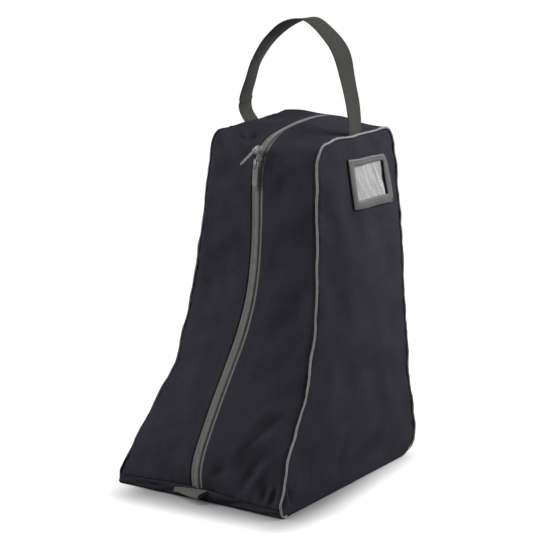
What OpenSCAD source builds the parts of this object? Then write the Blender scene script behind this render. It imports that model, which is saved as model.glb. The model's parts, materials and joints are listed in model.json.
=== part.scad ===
// Boot bag: a tall toe-shaped fabric bag with a two-slider zip up the front and over
// the top, piped side panels, a webbing handle and a window pocket for a name card.
// Front (toe) faces -Y, the card pocket is on +X, the base rests on Z = 0.

/* [Bag body] */
// Height of the top of the side seams
body_h = 430; // [400:1:470]
// Length of the base, toe seam to heel seam
base_l = 325; // [300:1:350]
// Width of the base across the side seams
base_w = 244; // [220:1:270]
// Length of the top, front seam to back seam
top_l = 186; // [174:1:198]
// Width of the top across the side seams
top_w = 156; // [140:1:176]
// Share of the side taper that is a flare at the foot
foot_flare = 0.35; // [0.1:0.05:0.6]
// Height at which the front side seams bend from toe to leg
instep_z = 132; // [118:1:150]
// How far the back side seams bow backwards at mid height
back_bow = 6; // [0:0.5:10]
// How far the back panel stands out behind its side seams
back_bulge = 4; // [0:0.5:8]
// How far the side panels are pillowed outwards
side_pillow = 8; // [2:0.5:12]
// Corner radius of the side seam at the top front
front_corner_r = 22; // [15:1:30]
// Corner radius of the side seam at the top back
back_corner_r = 18; // [12:1:26]
// Corner radius of the side seam at the heel
heel_r = 38; // [25:1:50]
// Corner radius of the side seam at the toe
toe_r = 9; // [5:0.5:14]
// Thickness of the lined fabric
fabric_t = 1.2; // [0.8:0.1:2]
// Height of the base fabric turned up at the toe
band_h = 15; // [12:0.5:22]

/* [Zip line] */
// Radius of the hollow front on the zip line
hollow_r = 318; // [290:1:350]
// Height at which the zip line stands upright
upright_z = 350; // [340:1:358]
// How far the zip line stands in front of the side seams at the top
front_bulge = 4; // [2:0.5:7]
// How far the zip line stands in front of the toe seam at the foot
toe_bulge = 2.5; // [0:0.5:6]
// Slope of the zip line over the instep, from upright
instep_slope = 39; // [35:0.5:42]
// Radius of the rounded toe on the zip line
toe_round_r = 100; // [80:1:115]
// Radius of the crowned top on the zip line
crown_r = 224; // [205:1:245]
// Height of the crown above the side seams
crown_rise = 13.7; // [11:0.1:17]
// Distance of the crest of the crown in front of the heel seam
crest_back = 86; // [78:1:94]
// Radius of the bend of the zip line from front to top
zip_bend_r = 12; // [10:0.5:15]
// Radius of the bend of the zip line from top to back
nape_r = 15; // [11:0.5:19]

/* [Zip] */
// Width of the whole zip tape
tape_w = 30; // [26:1:34]
// Width of the zip that shows between the fabric edges
zip_show_w = 15; // [12:0.5:18]
// Thickness of the zip tape
tape_t = 0.9; // [0.6:0.1:1.2]
// Width of the closed coil chain
chain_w = 6; // [5:0.1:7]
// Thickness of the coil chain
chain_t = 1.8; // [1.4:0.1:2.4]
// Gap between the two coils
chain_gap = 1; // [0.8:0.1:1.4]
// Length of an end stop along the zip
stop_l = 4; // [3:0.5:6]

/* [Zip sliders and pulls] */
// Length of a slider
slider_l = 11; // [9:0.5:12]
// Width of a slider at its shoulders
slider_w = 9.6; // [8.5:0.1:11]
// Thickness of a slider plate
plate_t = 1.4; // [1:0.1:1.8]
// Width of the bridge over a slider
bridge_w = 2.2; // [1.8:0.1:2.6]
// Thickness of the bridge
bridge_t = 1; // [0.8:0.1:1.3]
// Height of the window under the bridge
bridge_gap = 3; // [2.6:0.1:3.6]
// Length of the bridge
bridge_l = 6.6; // [6:0.1:7.4]
// Side play of a pull link on its bridge
link_play = 1.3; // [1:0.1:1.6]
// Diameter of the wire of a pull link
link_d = 1.2; // [1:0.1:1.5]
// Length of a pull link from its bridge bar to the grip
link_l = 6.5; // [6:0.5:8]
// Length of the closed end of a pull link
link_end = 2; // [1.5:0.5:2.5]
// Length of a pull grip
grip_l = 24; // [18:1:30]
// Width of a pull grip
grip_w = 8; // [7:0.5:10]
// Thickness of a pull grip
grip_t = 2; // [1.6:0.1:2.6]
// Angle by which the upper pull hangs below its slider
upper_pull_drop = 5; // [0:1:6]
// Angle by which the upper pull is swivelled to the left
upper_pull_swivel = 10; // [0:1:20]
// Angle by which the upper grip is turned on its link
upper_grip_turn = 30; // [0:1:35]

/* [Handle] */
// Width of the handle webbing
strap_w = 30; // [25:1:38]
// Thickness of the handle webbing
strap_t = 2; // [1.5:0.1:2.6]
// Height of the handle above the side seams
handle_rise = 139; // [115:1:160]
// Distance of the middle of the handle in front of the heel seam
handle_back = 92; // [84:1:100]
// Length of the webbing tail sewn inside the seam
tail_l = 22; // [16:1:28]

/* [Piping and binding] */
// Diameter of the piping
piping_d = 3.5; // [3:0.1:4.5]
// Width of the binding on the inside of the seams
binding_w = 10; // [8:0.5:12]
// Thickness of the bound seam allowance
binding_t = 1.6; // [1.2:0.1:2]

/* [Card pocket] */
// Length of the pocket frame
pocket_l = 90; // [80:1:98]
// Height of the pocket frame
pocket_h = 62; // [56:1:68]
// Width of the border around the window
pocket_border = 12; // [9:0.5:14]
// Thickness of the pocket frame
pocket_t = 1; // [0.8:0.1:1.4]
// Thickness of the window film
film_t = 0.3; // [0.2:0.05:0.5]
// Length of the name card
card_l = 80; // [72:1:84]
// Height of the name card
card_h = 52; // [44:1:54]
// Thickness of the name card
card_t = 0.4; // [0.3:0.05:0.6]
// Distance of the pocket's middle in front of the heel seam
pocket_back = 67; // [62:1:72]
// Distance of the pocket's middle below the top of the side seams
pocket_drop = 63; // [58:1:70]
// Turn of the pocket in the plane of its panel
pocket_turn = 2; // [0:0.5:4]
// Play of the card between the panel and the film
card_play = 0.2; // [0.1:0.05:0.3]

/* [Base board and end tab] */
// Thickness of the base board
board_t = 2.5; // [1.5:0.1:4]
// Gap between the base board and the seams around it
board_margin = 9; // [6:0.5:16]
// Width of the end tab at the zip's foot
tab_w = 48; // [40:1:56]
// Length of the end tab
tab_l = 15; // [12:0.5:18]
// Thickness of the folded end tab
tab_t = 2.6; // [2:0.1:3.4]
// Distance of the end tab's middle to the left of the zip
tab_side = 8; // [0:0.5:12]
// Angle at which the end tab droops
tab_droop = 14; // [5:1:20]

/* [Clearances] */
// Gap between sewn layers that lie on each other
layer_gap = 0.3; // [0.2:0.05:0.4]
// Running gap of the sliders on the zip
slider_gap = 0.3; // [0.25:0.05:0.4]

/* [Hidden] */

// ---- places of the main lines, as [y, z] in the middle plane of the bag ----
piping_r = piping_d / 2;
heel_y = base_l / 2;
toe_y = -base_l / 2;
front_y = heel_y - top_l;
seam_z = piping_r;
edge_inset = piping_r + layer_gap;
tab_y = toe_y - layer_gap - tab_t / 2;
tab_tip_y = tab_y - (tab_l - tab_t / 2) * cos(tab_droop) - tab_t / 2 * sin(tab_droop);
// The whole part is centred between the end tab's tip and the back panel.
part_shift = -(tab_tip_y + heel_y + back_bow + back_bulge) / 2;

// ---- small tools ----
function lerp(a, b, t) = a + (b - a) * t;
function steps(a, b, n) = [for (i = [0:n]) lerp(a, b, i / n)];
function outward(a) = [-cos(a), sin(a)];
function meet(ca, ra, cb, rb) =
    let (d = cb - ca, l = norm(d), a = (ra * ra - rb * rb + l * l) / (2 * l),
        h = sqrt(ra * ra - a * a), u = d / l)
    ca + u * a + [-u[1], u[0]] * h;

// ---- zip line: arcs of [centre y, centre z, signed radius, first angle, last angle] ----
// Angles are those of the outward normal: 0 faces forward, 90 faces up, 180 faces back.
hollow_c = [front_y - front_bulge - hollow_r, upright_z];
hollow_foot = hollow_c - hollow_r * outward(instep_slope);
toe_mid_y = toe_y - toe_bulge;
instep_l = (hollow_foot[0] - toe_mid_y - toe_round_r * (1 - cos(instep_slope))) / sin(instep_slope);
toe_round_z = hollow_foot[1] - instep_l * cos(instep_slope) - toe_round_r * sin(instep_slope);
toe_round_c = [toe_mid_y + toe_round_r, toe_round_z];
toe_angle = asin((band_h - toe_round_z) / toe_round_r);
crown_c = [heel_y - crest_back, body_h + crown_rise - crown_r];
bend_c = meet(hollow_c, hollow_r + zip_bend_r, crown_c, crown_r - zip_bend_r);
lean_angle = -asin((bend_c[1] - hollow_c[1]) / (hollow_r + zip_bend_r));
crown_angle = acos((crown_c[0] - bend_c[0]) / (crown_r - zip_bend_r));
back_mid_y = back_line(body_h) + back_bulge;
nape_c = [back_mid_y - nape_r,
    crown_c[1] + sqrt(pow(crown_r - nape_r, 2) - pow(back_mid_y - nape_r - crown_c[0], 2))];
nape_angle = 90 + asin((nape_c[0] - crown_c[0]) / (crown_r - nape_r));
zip_end_angle = nape_angle - 0.3;
toe_arc = [toe_round_c, toe_round_r, toe_angle, instep_slope];
hollow_arc = [hollow_c, -hollow_r, instep_slope, lean_angle];
bend_arc = [bend_c, zip_bend_r, lean_angle, crown_angle];
crown_arc = [crown_c, crown_r, crown_angle, zip_end_angle];
function on_arc(arc, a) = arc[0] + arc[1] * outward(a);
function arc_stations(arc, n) = [for (a = steps(arc[2], arc[3], n)) concat(on_arc(arc, a), a)];
zip_line = concat(arc_stations(toe_arc, 10), arc_stations(hollow_arc, 24),
    [for (s = arc_stations(bend_arc, 8)) if (s[2] > lean_angle) s],
    [for (s = arc_stations(crown_arc, 16)) if (s[2] > crown_angle) s]);
bend_z = on_arc(bend_arc, lean_angle)[1];
crown_start_y = on_arc(crown_arc, crown_angle)[0];

function zip_front_y(z) =
    z > hollow_foot[1] ? hollow_c[0] + sqrt(pow(hollow_r, 2) - pow(z - hollow_c[1], 2))
    : z > toe_round_z + toe_round_r * sin(instep_slope)
        ? hollow_foot[0] - (hollow_foot[1] - z) * tan(instep_slope)
    : toe_round_c[0] - sqrt(pow(toe_round_r, 2) - pow(z - toe_round_z, 2));
function zip_top_z(y) =
    y < crown_start_y ? bend_c[1] + sqrt(max(0, pow(zip_bend_r, 2) - pow(y - bend_c[0], 2)))
    : crown_c[1] + sqrt(pow(crown_r, 2) - pow(y - crown_c[0], 2));

// ---- side seams: half width and outline of a side panel ----
function half_w(z) =
    let (t = 1 - z / body_h)
    (top_w + (base_w - top_w) * ((1 - foot_flare) * t + foot_flare * pow(t, 3))) / 2;
front_curve = [[toe_y, 2 * toe_r], [lerp(toe_y, front_y, 0.53), instep_z],
    [lerp(toe_y, front_y, 0.92), instep_z], [front_y, body_h - front_corner_r]];
function curve_point(t) =
    pow(1 - t, 3) * front_curve[0] + 3 * pow(1 - t, 2) * t * front_curve[1]
    + 3 * (1 - t) * t * t * front_curve[2] + pow(t, 3) * front_curve[3];
function curve_y(z, lo = 0, hi = 1, n = 20) =
    let (mid = (lo + hi) / 2, p = curve_point(mid))
    n == 0 ? p[0] : p[1] < z ? curve_y(z, mid, hi, n - 1) : curve_y(z, lo, mid, n - 1);
function front_line(z) =
    z < front_curve[0][1] ? toe_y : z > front_curve[3][1] ? front_y : curve_y(z);
function back_line(z) = heel_y + back_bow * sin(180 * z / body_h);
// The seam's corners, and the same outline drawn a distance d inside it.
function round_off(z, low_r, high_r, d) =
    let (over = z - (body_h - high_r), under = seam_z + low_r - z, top = high_r - d, low = low_r - d)
    over > 0 ? top - sqrt(max(0, top * top - over * over))
    : under > 0 ? low - sqrt(max(0, low * low - under * under)) : 0;
function lean(z) = norm([1, (front_line(z + 1) - front_line(z - 1)) / 2]);
function seam_front(z, d = 0) = front_line(z) + d * lean(z) + round_off(z, toe_r, front_corner_r, d);
function seam_back(z, d = 0) = back_line(z) - d - round_off(z, heel_r, back_corner_r, d);
function corner(c, r, a0, a1, n) = [for (a = steps(a0, a1, n)) c + r * outward(a)];
front_corner_c = [front_y + front_corner_r, body_h - front_corner_r];
back_corner_c = [back_line(body_h - back_corner_r) - back_corner_r, body_h - back_corner_r];
heel_c = [back_line(seam_z + heel_r) - heel_r, seam_z + heel_r];
toe_c = [toe_y + toe_r, seam_z + toe_r];
leg_zs = steps(front_curve[0][1], body_h - front_corner_r, 22);
back_zs = steps(body_h - back_corner_r, seam_z + heel_r, 8);
seam_loop = concat(corner(toe_c, toe_r, -90, 0, 4), [for (z = leg_zs) [seam_front(z), z]],
    corner(front_corner_c, front_corner_r, 10, 90, 7), corner(back_corner_c, back_corner_r, 90, 170, 7),
    [for (z = back_zs) [back_line(z), z]], corner(heel_c, heel_r, 190, 270, 8));

function pillow(y, z) =
    let (v = (y - seam_front(z)) / (seam_back(z) - seam_front(z)), u = z / body_h)
    side_pillow * (1 - pow(2 * v - 1, 2)) * (1 - pow(2 * u - 1, 4));
function panel_x(y, z) = half_w(z) + pillow(y, z);

// ---- sheets: a grid of points given a thickness ----
// rows and columns run so that cross(along the row, along the column) faces outwards.
function grid_normal(g, i, j) =
    let (n = len(g) - 1, m = len(g[0]) - 1,
        du = g[i][min(j + 1, m)] - g[i][max(j - 1, 0)],
        dv = g[min(i + 1, n)][j] - g[max(i - 1, 0)][j],
        c = cross(du, dv))
    c / norm(c);
module sheet(g, t) {
    n = len(g);
    m = len(g[0]);
    outer = [for (i = [0:n - 1], j = [0:m - 1]) g[i][j]];
    inner = [for (i = [0:n - 1], j = [0:m - 1]) g[i][j] - t * grid_normal(g, i, j)];
    o = n * m;
    quads = concat(
        [for (i = [0:n - 2], j = [0:m - 2])
            [i * m + j, (i + 1) * m + j, (i + 1) * m + j + 1, i * m + j + 1]],
        [for (i = [0:n - 2], j = [0:m - 2])
            [o + i * m + j, o + i * m + j + 1, o + (i + 1) * m + j + 1, o + (i + 1) * m + j]],
        [for (j = [0:m - 2]) [j, j + 1, o + j + 1, o + j]],
        [for (j = [0:m - 2]) [(n - 1) * m + j + 1, (n - 1) * m + j,
            o + (n - 1) * m + j, o + (n - 1) * m + j + 1]],
        [for (i = [0:n - 2]) [(i + 1) * m, i * m, o + i * m, o + (i + 1) * m]],
        [for (i = [0:n - 2]) [i * m + m - 1, (i + 1) * m + m - 1,
            o + (i + 1) * m + m - 1, o + i * m + m - 1]]);
    triangles = [for (q = quads) each [[q[0], q[1], q[2]], [q[0], q[2], q[3]]]];
    polyhedron(points = concat(outer, inner), faces = triangles);
}

// A bar of a given cross-section swept along [y, z] points that go up the front, over the
// top and down the back. Each section corner is [outwards, beyond the half width in X].
module seam_bar(line, section, closed) {
    n = len(line);
    m = len(section);
    last = closed ? n - 1 : n - 2;
    points = [for (i = [0:n - 1])
        let (next = closed ? line[(i + 1) % n] : line[min(i + 1, n - 1)],
            back = closed ? line[(i + n - 1) % n] : line[max(i - 1, 0)],
            d = next - back, away = [-d[1], d[0]] / norm(d))
        for (c = section) let (p = line[i] + c[0] * away) [half_w(p[1]) + c[1], p[0], p[1]]];
    sides = [for (i = [0:last], k = [0:m - 1])
        let (a = i * m, b = ((i + 1) % n) * m, k2 = (k + 1) % m)
        each [[a + k, a + k2, b + k2], [a + k, b + k2, b + k]]];
    caps = closed ? [] : [[for (k = [m - 1:-1:0]) k], [for (k = [0:m - 1]) (n - 1) * m + k]];
    polyhedron(points = points, faces = concat(sides, caps));
}

module mirrored() {
    mirror([1, 0, 0]) children();
}
module placed() {
    translate([0, part_shift, 0]) children();
}
// A band that follows the zip line between two heights over it, from x0 to x1.
module zip_band(line, low, high, x0, x1) {
    top_side = [for (s = line) [s[0], s[1]] + high * outward(s[2])];
    low_side = [for (i = [len(line) - 1:-1:0])
        let (s = line[i]) [s[0], s[1]] + low * outward(s[2])];
    translate([x0, 0, 0]) rotate([90, 0, 90])
        linear_extrude(x1 - x0) polygon(concat(top_side, low_side));
}

// ---- fabric panels ----
// The rows lie closer together at the foot and the top, where the outline is rounded.
panel_rows = [for (f = steps(0, 1, 28))
    lerp(seam_z + edge_inset, body_h - edge_inset, f - sin(360 * f) / 8)];
module side_panel() {
    grid = [for (z = panel_rows)
        let (y0 = seam_front(z, edge_inset), y1 = seam_back(z, edge_inset))
        [for (v = steps(0, 1, 10))
            let (y = lerp(y0, y1, v)) [panel_x(y, z), y, z]]];
    color("#25262c") sheet(grid, fabric_t);
}

// Rows of [side seam point, zip line point] up the front, round the bend and over the top.
foot_angle = asin((band_h + layer_gap - toe_round_z) / toe_round_r);
toe_top_z = on_arc(toe_arc, instep_slope)[1];
front_zs = concat([for (a = steps(foot_angle, instep_slope, 8)) on_arc(toe_arc, a)[1]],
    [for (f = steps(1 / 20, 1, 19)) lerp(toe_top_z, bend_z, f)]);
top_start = front_corner_c[0];
top_end = back_corner_c[0];
top_ys = [for (f = steps(1 / 9, 1, 8)) lerp(top_start, on_arc(crown_arc, zip_end_angle)[0], f)];
gusset_rows = concat(
    [for (z = front_zs) [[front_line(z), z], [zip_front_y(z), z]]],
    [for (f = steps(1 / 5, 1, 4))
        [front_corner_c + front_corner_r * outward(45 * f),
            on_arc(bend_arc, lerp(lean_angle, crown_angle, f))]],
    [for (f = steps(1 / 3, 1, 2))
        let (y = lerp(crown_start_y, top_start, f))
        [front_corner_c + front_corner_r * outward(45 + 45 * f), [y, zip_top_z(y)]]],
    [for (i = [0:8])
        [[lerp(top_start, top_end, (i + 1) / 9), body_h], [top_ys[i], zip_top_z(top_ys[i])]]]);
// The fabric lies flat on the tape, and falls away from its edge to the side seam.
function gusset_point(row, v) =
    let (x1 = half_w(row[0][1]) - edge_inset, p = lerp(row[1], row[0], v * v))
    [lerp(tape_w / 2 + layer_gap, x1, v), p[0], p[1]];
module gusset() {
    grid = [for (row = gusset_rows)
        concat([[zip_show_w / 2, row[1][0], row[1][1]]],
            [for (v = steps(0, 1, 7)) gusset_point(row, v)])];
    color("#25262c") sheet(grid, fabric_t);
}

back_rows = concat(
    [for (f = steps(layer_gap / back_corner_r, 1, 5))
        [back_corner_c + back_corner_r * outward(90 + 90 * f),
            nape_c + nape_r * outward(lerp(nape_angle, 180, f))]],
    [for (z = [for (i = [1:8]) back_zs[i]])
        [[back_line(z), z], [back_line(z) + back_bulge, z]]],
    [for (f = steps(1 / 6, 1, 5))
        [heel_c + heel_r * outward(180 + 90 * f),
            heel_c + (heel_r + lerp(back_bulge, seam_z, f)) * outward(180 + 90 * f)]]);
module back_panel() {
    grid = [for (row = back_rows) [for (u = steps(-1, 1, 10))
        let (p = lerp(row[1], row[0], u * u))
        [u * (half_w(row[0][1]) - edge_inset), p[0], p[1]]]];
    color("#25262c") placed() sheet(grid, fabric_t);
}

base_half_w = half_w(band_h) - edge_inset;
base_back_y = heel_c[0] - layer_gap;
module base_panel() {
    outer = concat([[base_back_y, 0]],
        corner([toe_y + toe_r, toe_r], toe_r, -90, 0, 6), [[toe_y, band_h]]);
    inner = concat([[toe_y + fabric_t, band_h]],
        corner([toe_y + toe_r, toe_r], toe_r - fabric_t, 0, -90, 6), [[base_back_y, fabric_t]]);
    color("#1f2025") placed() translate([-base_half_w, 0, 0]) rotate([90, 0, 90])
        linear_extrude(2 * base_half_w) polygon(concat(outer, inner));
}
module base_board() {
    board_w = 2 * (base_half_w - board_margin);
    board_y0 = toe_y + board_margin;
    board_y1 = base_back_y - layer_gap;
    color("#34353a") placed()
        translate([-board_w / 2, board_y0, fabric_t + layer_gap])
            cube([board_w, board_y1 - board_y0, board_t]);
}

// ---- piping and binding round a side panel ----
// The binding runs round the panel from the foot of the leg to just behind the toe.
binding_line = [for (i = [7:len(seam_loop) - 1]) seam_loop[i]];
module piping() {
    section = [for (a = [0:45:315]) piping_r * [cos(a), sin(a)]];
    color("#7b7c7d") seam_bar(seam_loop, section, true);
}
module seam_binding() {
    in_x = -fabric_t - layer_gap;
    out = -edge_inset - fabric_t - 1;
    section = [[out, in_x - binding_t], [out, in_x], [out - binding_w, in_x],
        [out - binding_w, in_x - binding_t]];
    toe_end = [toe_y + 3 * toe_r + binding_w, seam_z];
    color("#1b1b1e") seam_bar(concat(binding_line, [toe_end]), section, false);
}

// ---- zip ----
tape_top = -fabric_t - layer_gap;
tape_low = tape_top - tape_t;
chain_top = tape_top + chain_t;
coil_in = chain_gap / 2;
coil_out = chain_w / 2;
stop_angle = stop_l / hollow_r * 180 / PI;
module zip_tape() {
    color("#6c6d6a") zip_band(zip_line, tape_low, tape_top, coil_in, tape_w / 2);
}
first_coil = [for (s = zip_line) if (s[1] > band_h + stop_l + 2 && (s[2] < zip_end_angle - 1.5)) s];
module zip_coil() {
    color("#5f605e") zip_band(first_coil, tape_top, chain_top, coil_in, coil_out);
}
// One staple-shaped stop closes each end of the chain.
foot_stop_line = [for (a = steps(toe_angle, toe_angle + 3, 1)) concat(on_arc(toe_arc, a), a)];
top_stop_line = [for (a = steps(zip_end_angle - 1.2, zip_end_angle, 1))
    concat(on_arc(crown_arc, a), a)];
module zip_end_stops() {
    color("#8f9092") placed() for (line = [foot_stop_line, top_stop_line])
        zip_band(line, tape_top, chain_top, -coil_out, coil_out);
}

// ---- sliders ----
// Local frame of a slider: +Z along the zip line, -Y outwards, middle at the origin.
module at_zip(arc, a) {
    p = on_arc(arc, a);
    translate([0, p[0], p[1]]) rotate([-a, 0, 0]) children();
}
function along(mm, r) = mm / r * 180 / PI;
lower_angle = lean_angle + along(slider_l / 2, hollow_r);
upper_angle = crown_angle + along(slider_l / 2, crown_r);
top_plate = chain_top + slider_gap;
low_plate = tape_low - slider_gap;
web_t = chain_gap - 2 * slider_gap;
bridge_z = slider_l / 2 - bridge_l / 2 - 0.2;
pin_out = top_plate + plate_t + bridge_gap - link_d / 2 - slider_gap;
module plate_outline() {
    half = slider_l / 2;
    polygon([[-slider_w * 0.36, -half], [slider_w * 0.36, -half], [slider_w / 2, 0],
        [slider_w / 2, half - 1.5], [slider_w / 2 - 1.5, half], [-slider_w / 2 + 1.5, half],
        [-slider_w / 2, half - 1.5], [-slider_w / 2, 0]]);
}
// A plate lies between two heights over the zip line.
module plate(low) {
    translate([0, -low, 0]) rotate([90, 0, 0]) linear_extrude(plate_t) plate_outline();
}
module slider_body() {
    color("#6e6f70") {
        plate(top_plate);
        plate(low_plate - plate_t);
        translate([-web_t / 2, -top_plate, -slider_l / 4])
            cube([web_t, top_plate - low_plate, slider_l * 0.7]);
    }
}
module slider_bridge() {
    half = bridge_l / 2;
    foot = top_plate + plate_t;
    high = foot + bridge_gap;
    color("#8d8e90") translate([-bridge_w / 2, 0, bridge_z]) rotate([90, 0, 90])
        linear_extrude(bridge_w) polygon([[-foot, -half], [-foot, -half + bridge_t],
            [-high + 0.8, -half + bridge_t + 0.4], [-high, -half + bridge_t + 1.2],
            [-high, half - bridge_t - 1.2], [-high + 0.8, half - bridge_t - 0.4],
            [-foot, half - bridge_t], [-foot, half], [-high + 0.4, half],
            [-high - bridge_t, half - 1.6], [-high - bridge_t, 1.6 - half],
            [-high + 0.4, -half]]);
}

// ---- pulls ----
// A pull hangs along -Z from its bar, which lies along X through the origin.
arm_x = bridge_w / 2 + link_play + link_d / 2;
module pull_link() {
    color("#8d8e90") {
        translate([-arm_x, 0, 0]) rotate([0, 90, 0]) cylinder(h = 2 * arm_x, d = link_d, $fn = 24);
        for (side = [-1, 1]) {
            translate([side * arm_x, 0, link_end - link_l])
                cylinder(h = link_l - link_end, d = link_d, $fn = 24);
            translate([side * arm_x, 0, 0]) sphere(d = link_d, $fn = 24);
        }
        translate([-arm_x - link_d / 2, -link_d / 2, -link_l])
            cube([2 * arm_x + link_d, link_d, link_end]);
    }
}
slot_w = 3.6;
slot_h = 1.8;
module pull_grip() {
    straight = grip_l - grip_w / 2;
    color("#77787a") translate([0, grip_t / 2, -link_l - layer_gap / 3]) rotate([90, 0, 0])
        linear_extrude(grip_t) difference() {
            union() {
                translate([-grip_w / 2, -straight]) square([grip_w, straight]);
                translate([0, -straight]) circle(d = grip_w, $fn = 48);
            }
            translate([-slot_w / 2, -3 - slot_h]) square([slot_w, slot_h]);
        }
}
module on_pin(arc, a, flip) {
    at_zip(arc, a) translate([0, -pin_out, flip * bridge_z]) children();
}
// The lower pull hangs straight down; the upper pull reaches out over the bend of the bag.
module lower_pull() {
    on_pin(hollow_arc, lower_angle, 1) rotate([lower_angle, 0, 0]) children();
}
module upper_pull() {
    on_pin(crown_arc, upper_angle, -1) rotate([0, upper_pull_swivel, 0])
        rotate([upper_pull_drop, 0, 0]) children();
}

// ---- end tab ----
tab_z = band_h - 2;
module zip_end_tab() {
    skew = 3;
    color("#75767a") placed() translate([-tab_side, tab_y, tab_z]) rotate([tab_droop, 0, 0]) {
        translate([-tab_w / 2, 0, 0]) rotate([0, 90, 0]) cylinder(h = tab_w, d = tab_t, $fn = 32);
        translate([0, 0, -tab_t / 2]) linear_extrude(tab_t) polygon([[-tab_w / 2, 0],
            [-tab_w / 2 + skew, -tab_l + tab_t / 2], [tab_w / 2 - skew, -tab_l + tab_t / 2],
            [tab_w / 2, 0]]);
    }
}

// ---- handle ----
handle_y = heel_y - handle_back;
hinge_z = body_h + piping_r + layer_gap + strap_w / 2;
strap_x = top_w / 2 - strap_t / 2;
strap_curve = [[strap_x, hinge_z], [strap_x - 6, hinge_z + 48],
    [strap_x - 18, body_h + handle_rise - 2], [0, body_h + handle_rise - strap_t / 2]];
function strap_point(t) =
    pow(1 - t, 3) * strap_curve[0] + 3 * pow(1 - t, 2) * t * strap_curve[1]
    + 3 * (1 - t) * t * t * strap_curve[2] + pow(t, 3) * strap_curve[3];
half_strap = [for (t = steps(0, 1, 12)) strap_point(t)];
strap_line = concat(half_strap, [for (i = [11:-1:0]) [-half_strap[i][0], half_strap[i][1]]]);
function strap_side(s) = [for (i = [0:len(strap_line) - 1])
    let (d = strap_line[min(i + 1, len(strap_line) - 1)] - strap_line[max(i - 1, 0)])
    strap_line[i] + s * strap_t / 2 * [d[1], -d[0]] / norm(d)];
module handle_strap() {
    inner_side = strap_side(-1);
    color("#6b6c6a") placed() translate([0, handle_y, 0]) {
        translate([0, strap_w / 2, 0]) rotate([90, 0, 0]) linear_extrude(strap_w)
            polygon(concat(strap_side(1),
                [for (i = [len(inner_side) - 1:-1:0]) inner_side[i]]));
        for (side = [-1, 1]) translate([side * strap_x - strap_t / 2, 0, hinge_z])
            rotate([0, 90, 0]) cylinder(h = strap_t, r = strap_w / 2, $fn = 64);
    }
}
// The tail lies inside the bag on the bound seam, in line with the strap above it.
module handle_tail() {
    slope = atan((half_w(body_h - tail_l) - half_w(body_h)) / tail_l);
    tail_x = half_w(body_h) - fabric_t - 3 * layer_gap - binding_t - strap_t;
    tail_top = body_h - edge_inset - fabric_t - 1;
    color("#5f605e") translate([tail_x, handle_y - strap_w / 2, tail_top])
        rotate([0, -slope, 0]) translate([0, 0, -tail_l]) cube([strap_t, strap_w, tail_l]);
}

// ---- card pocket ----
pocket_y = heel_y - pocket_back;
pocket_z = body_h - pocket_drop;
function panel_rise(up) = panel_x(pocket_y, pocket_z + up);
function panel_run(back) = panel_x(pocket_y + back, pocket_z);
pocket_rise = atan((panel_rise(pocket_h / 6) - panel_rise(-pocket_h / 6)) / (pocket_h / 3));
pocket_yaw = -atan((panel_run(pocket_l / 9) - panel_run(-pocket_l / 9)) / (pocket_l / 4.5));
card_at = layer_gap + card_play;
film_at = card_at + card_t + layer_gap;
frame_at = film_at + film_t;
window_l = pocket_l - 2 * pocket_border;
window_h = pocket_h - 2 * pocket_border;
// Plates of the pocket lie at a height over the panel, length along Y, height along Z.
module pocket_plate(at, t, l, h) {
    translate([at, -l / 2, -h / 2]) cube([t, l, h]);
}
module on_pocket() {
    placed() translate([panel_x(pocket_y, pocket_z), pocket_y, pocket_z])
        rotate([0, 0, pocket_yaw]) rotate([0, pocket_rise, 0]) rotate([-pocket_turn, 0, 0])
            children();
}
module pocket_frame() {
    color("#6f7070") on_pocket() difference() {
        pocket_plate(frame_at, pocket_t, pocket_l, pocket_h);
        pocket_plate(frame_at - pocket_t, 3 * pocket_t, window_l, window_h);
    }
}
module pocket_window() {
    color("#dfe3e6", 0.4) on_pocket()
        pocket_plate(film_at, film_t, window_l + pocket_border, window_h + pocket_border);
}
module name_card() {
    color("#c9cacb") on_pocket() pocket_plate(card_at, card_t, card_l, card_h);
}

placed() side_panel();  // right_side_panel
placed() mirrored() side_panel();  // left_side_panel
placed() gusset();  // right_gusset
placed() mirrored() gusset();  // left_gusset
back_panel();
base_panel();
base_board();
placed() piping();  // right_piping
placed() mirrored() piping();  // left_piping
placed() seam_binding();  // right_seam_binding
placed() mirrored() seam_binding();  // left_seam_binding
placed() zip_tape();  // right_zip_tape
placed() mirrored() zip_tape();  // left_zip_tape
placed() zip_coil();  // right_zip_coil
placed() mirrored() zip_coil();  // left_zip_coil
zip_end_stops();
placed() at_zip(hollow_arc, lower_angle) slider_body();  // lower_slider_body
placed() at_zip(hollow_arc, lower_angle) slider_bridge();  // lower_slider_bridge
placed() lower_pull() pull_link();  // lower_pull_link
placed() lower_pull() pull_grip();  // lower_pull_grip
placed() at_zip(crown_arc, upper_angle) rotate([0, 180, 0]) slider_body();  // upper_slider_body
placed() at_zip(crown_arc, upper_angle) rotate([0, 180, 0]) slider_bridge();  // upper_slider_bridge
placed() upper_pull() pull_link();  // upper_pull_link
placed() upper_pull() rotate([0, 0, -upper_grip_turn]) pull_grip();  // upper_pull_grip
zip_end_tab();
handle_strap();
placed() handle_tail();  // right_handle_tail
placed() mirrored() handle_tail();  // left_handle_tail
pocket_frame();
pocket_window();
name_card();
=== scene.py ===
"""The looks of a tall boot bag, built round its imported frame.

Lengths are millimetres, and make_mesh turns them to metres. +X is the side with the card
pocket, -Y the toe and the zip, +Z up. The cloth panels are lofted between the seams and the
zip line, then shaped by folds, puckers and undulations with fixed seeds.
"""

import json
from functools import partial
from math import atan2, cos, pi, radians, sin, sqrt

import bpy
import numpy as np
from mathutils import Matrix, Vector

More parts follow.
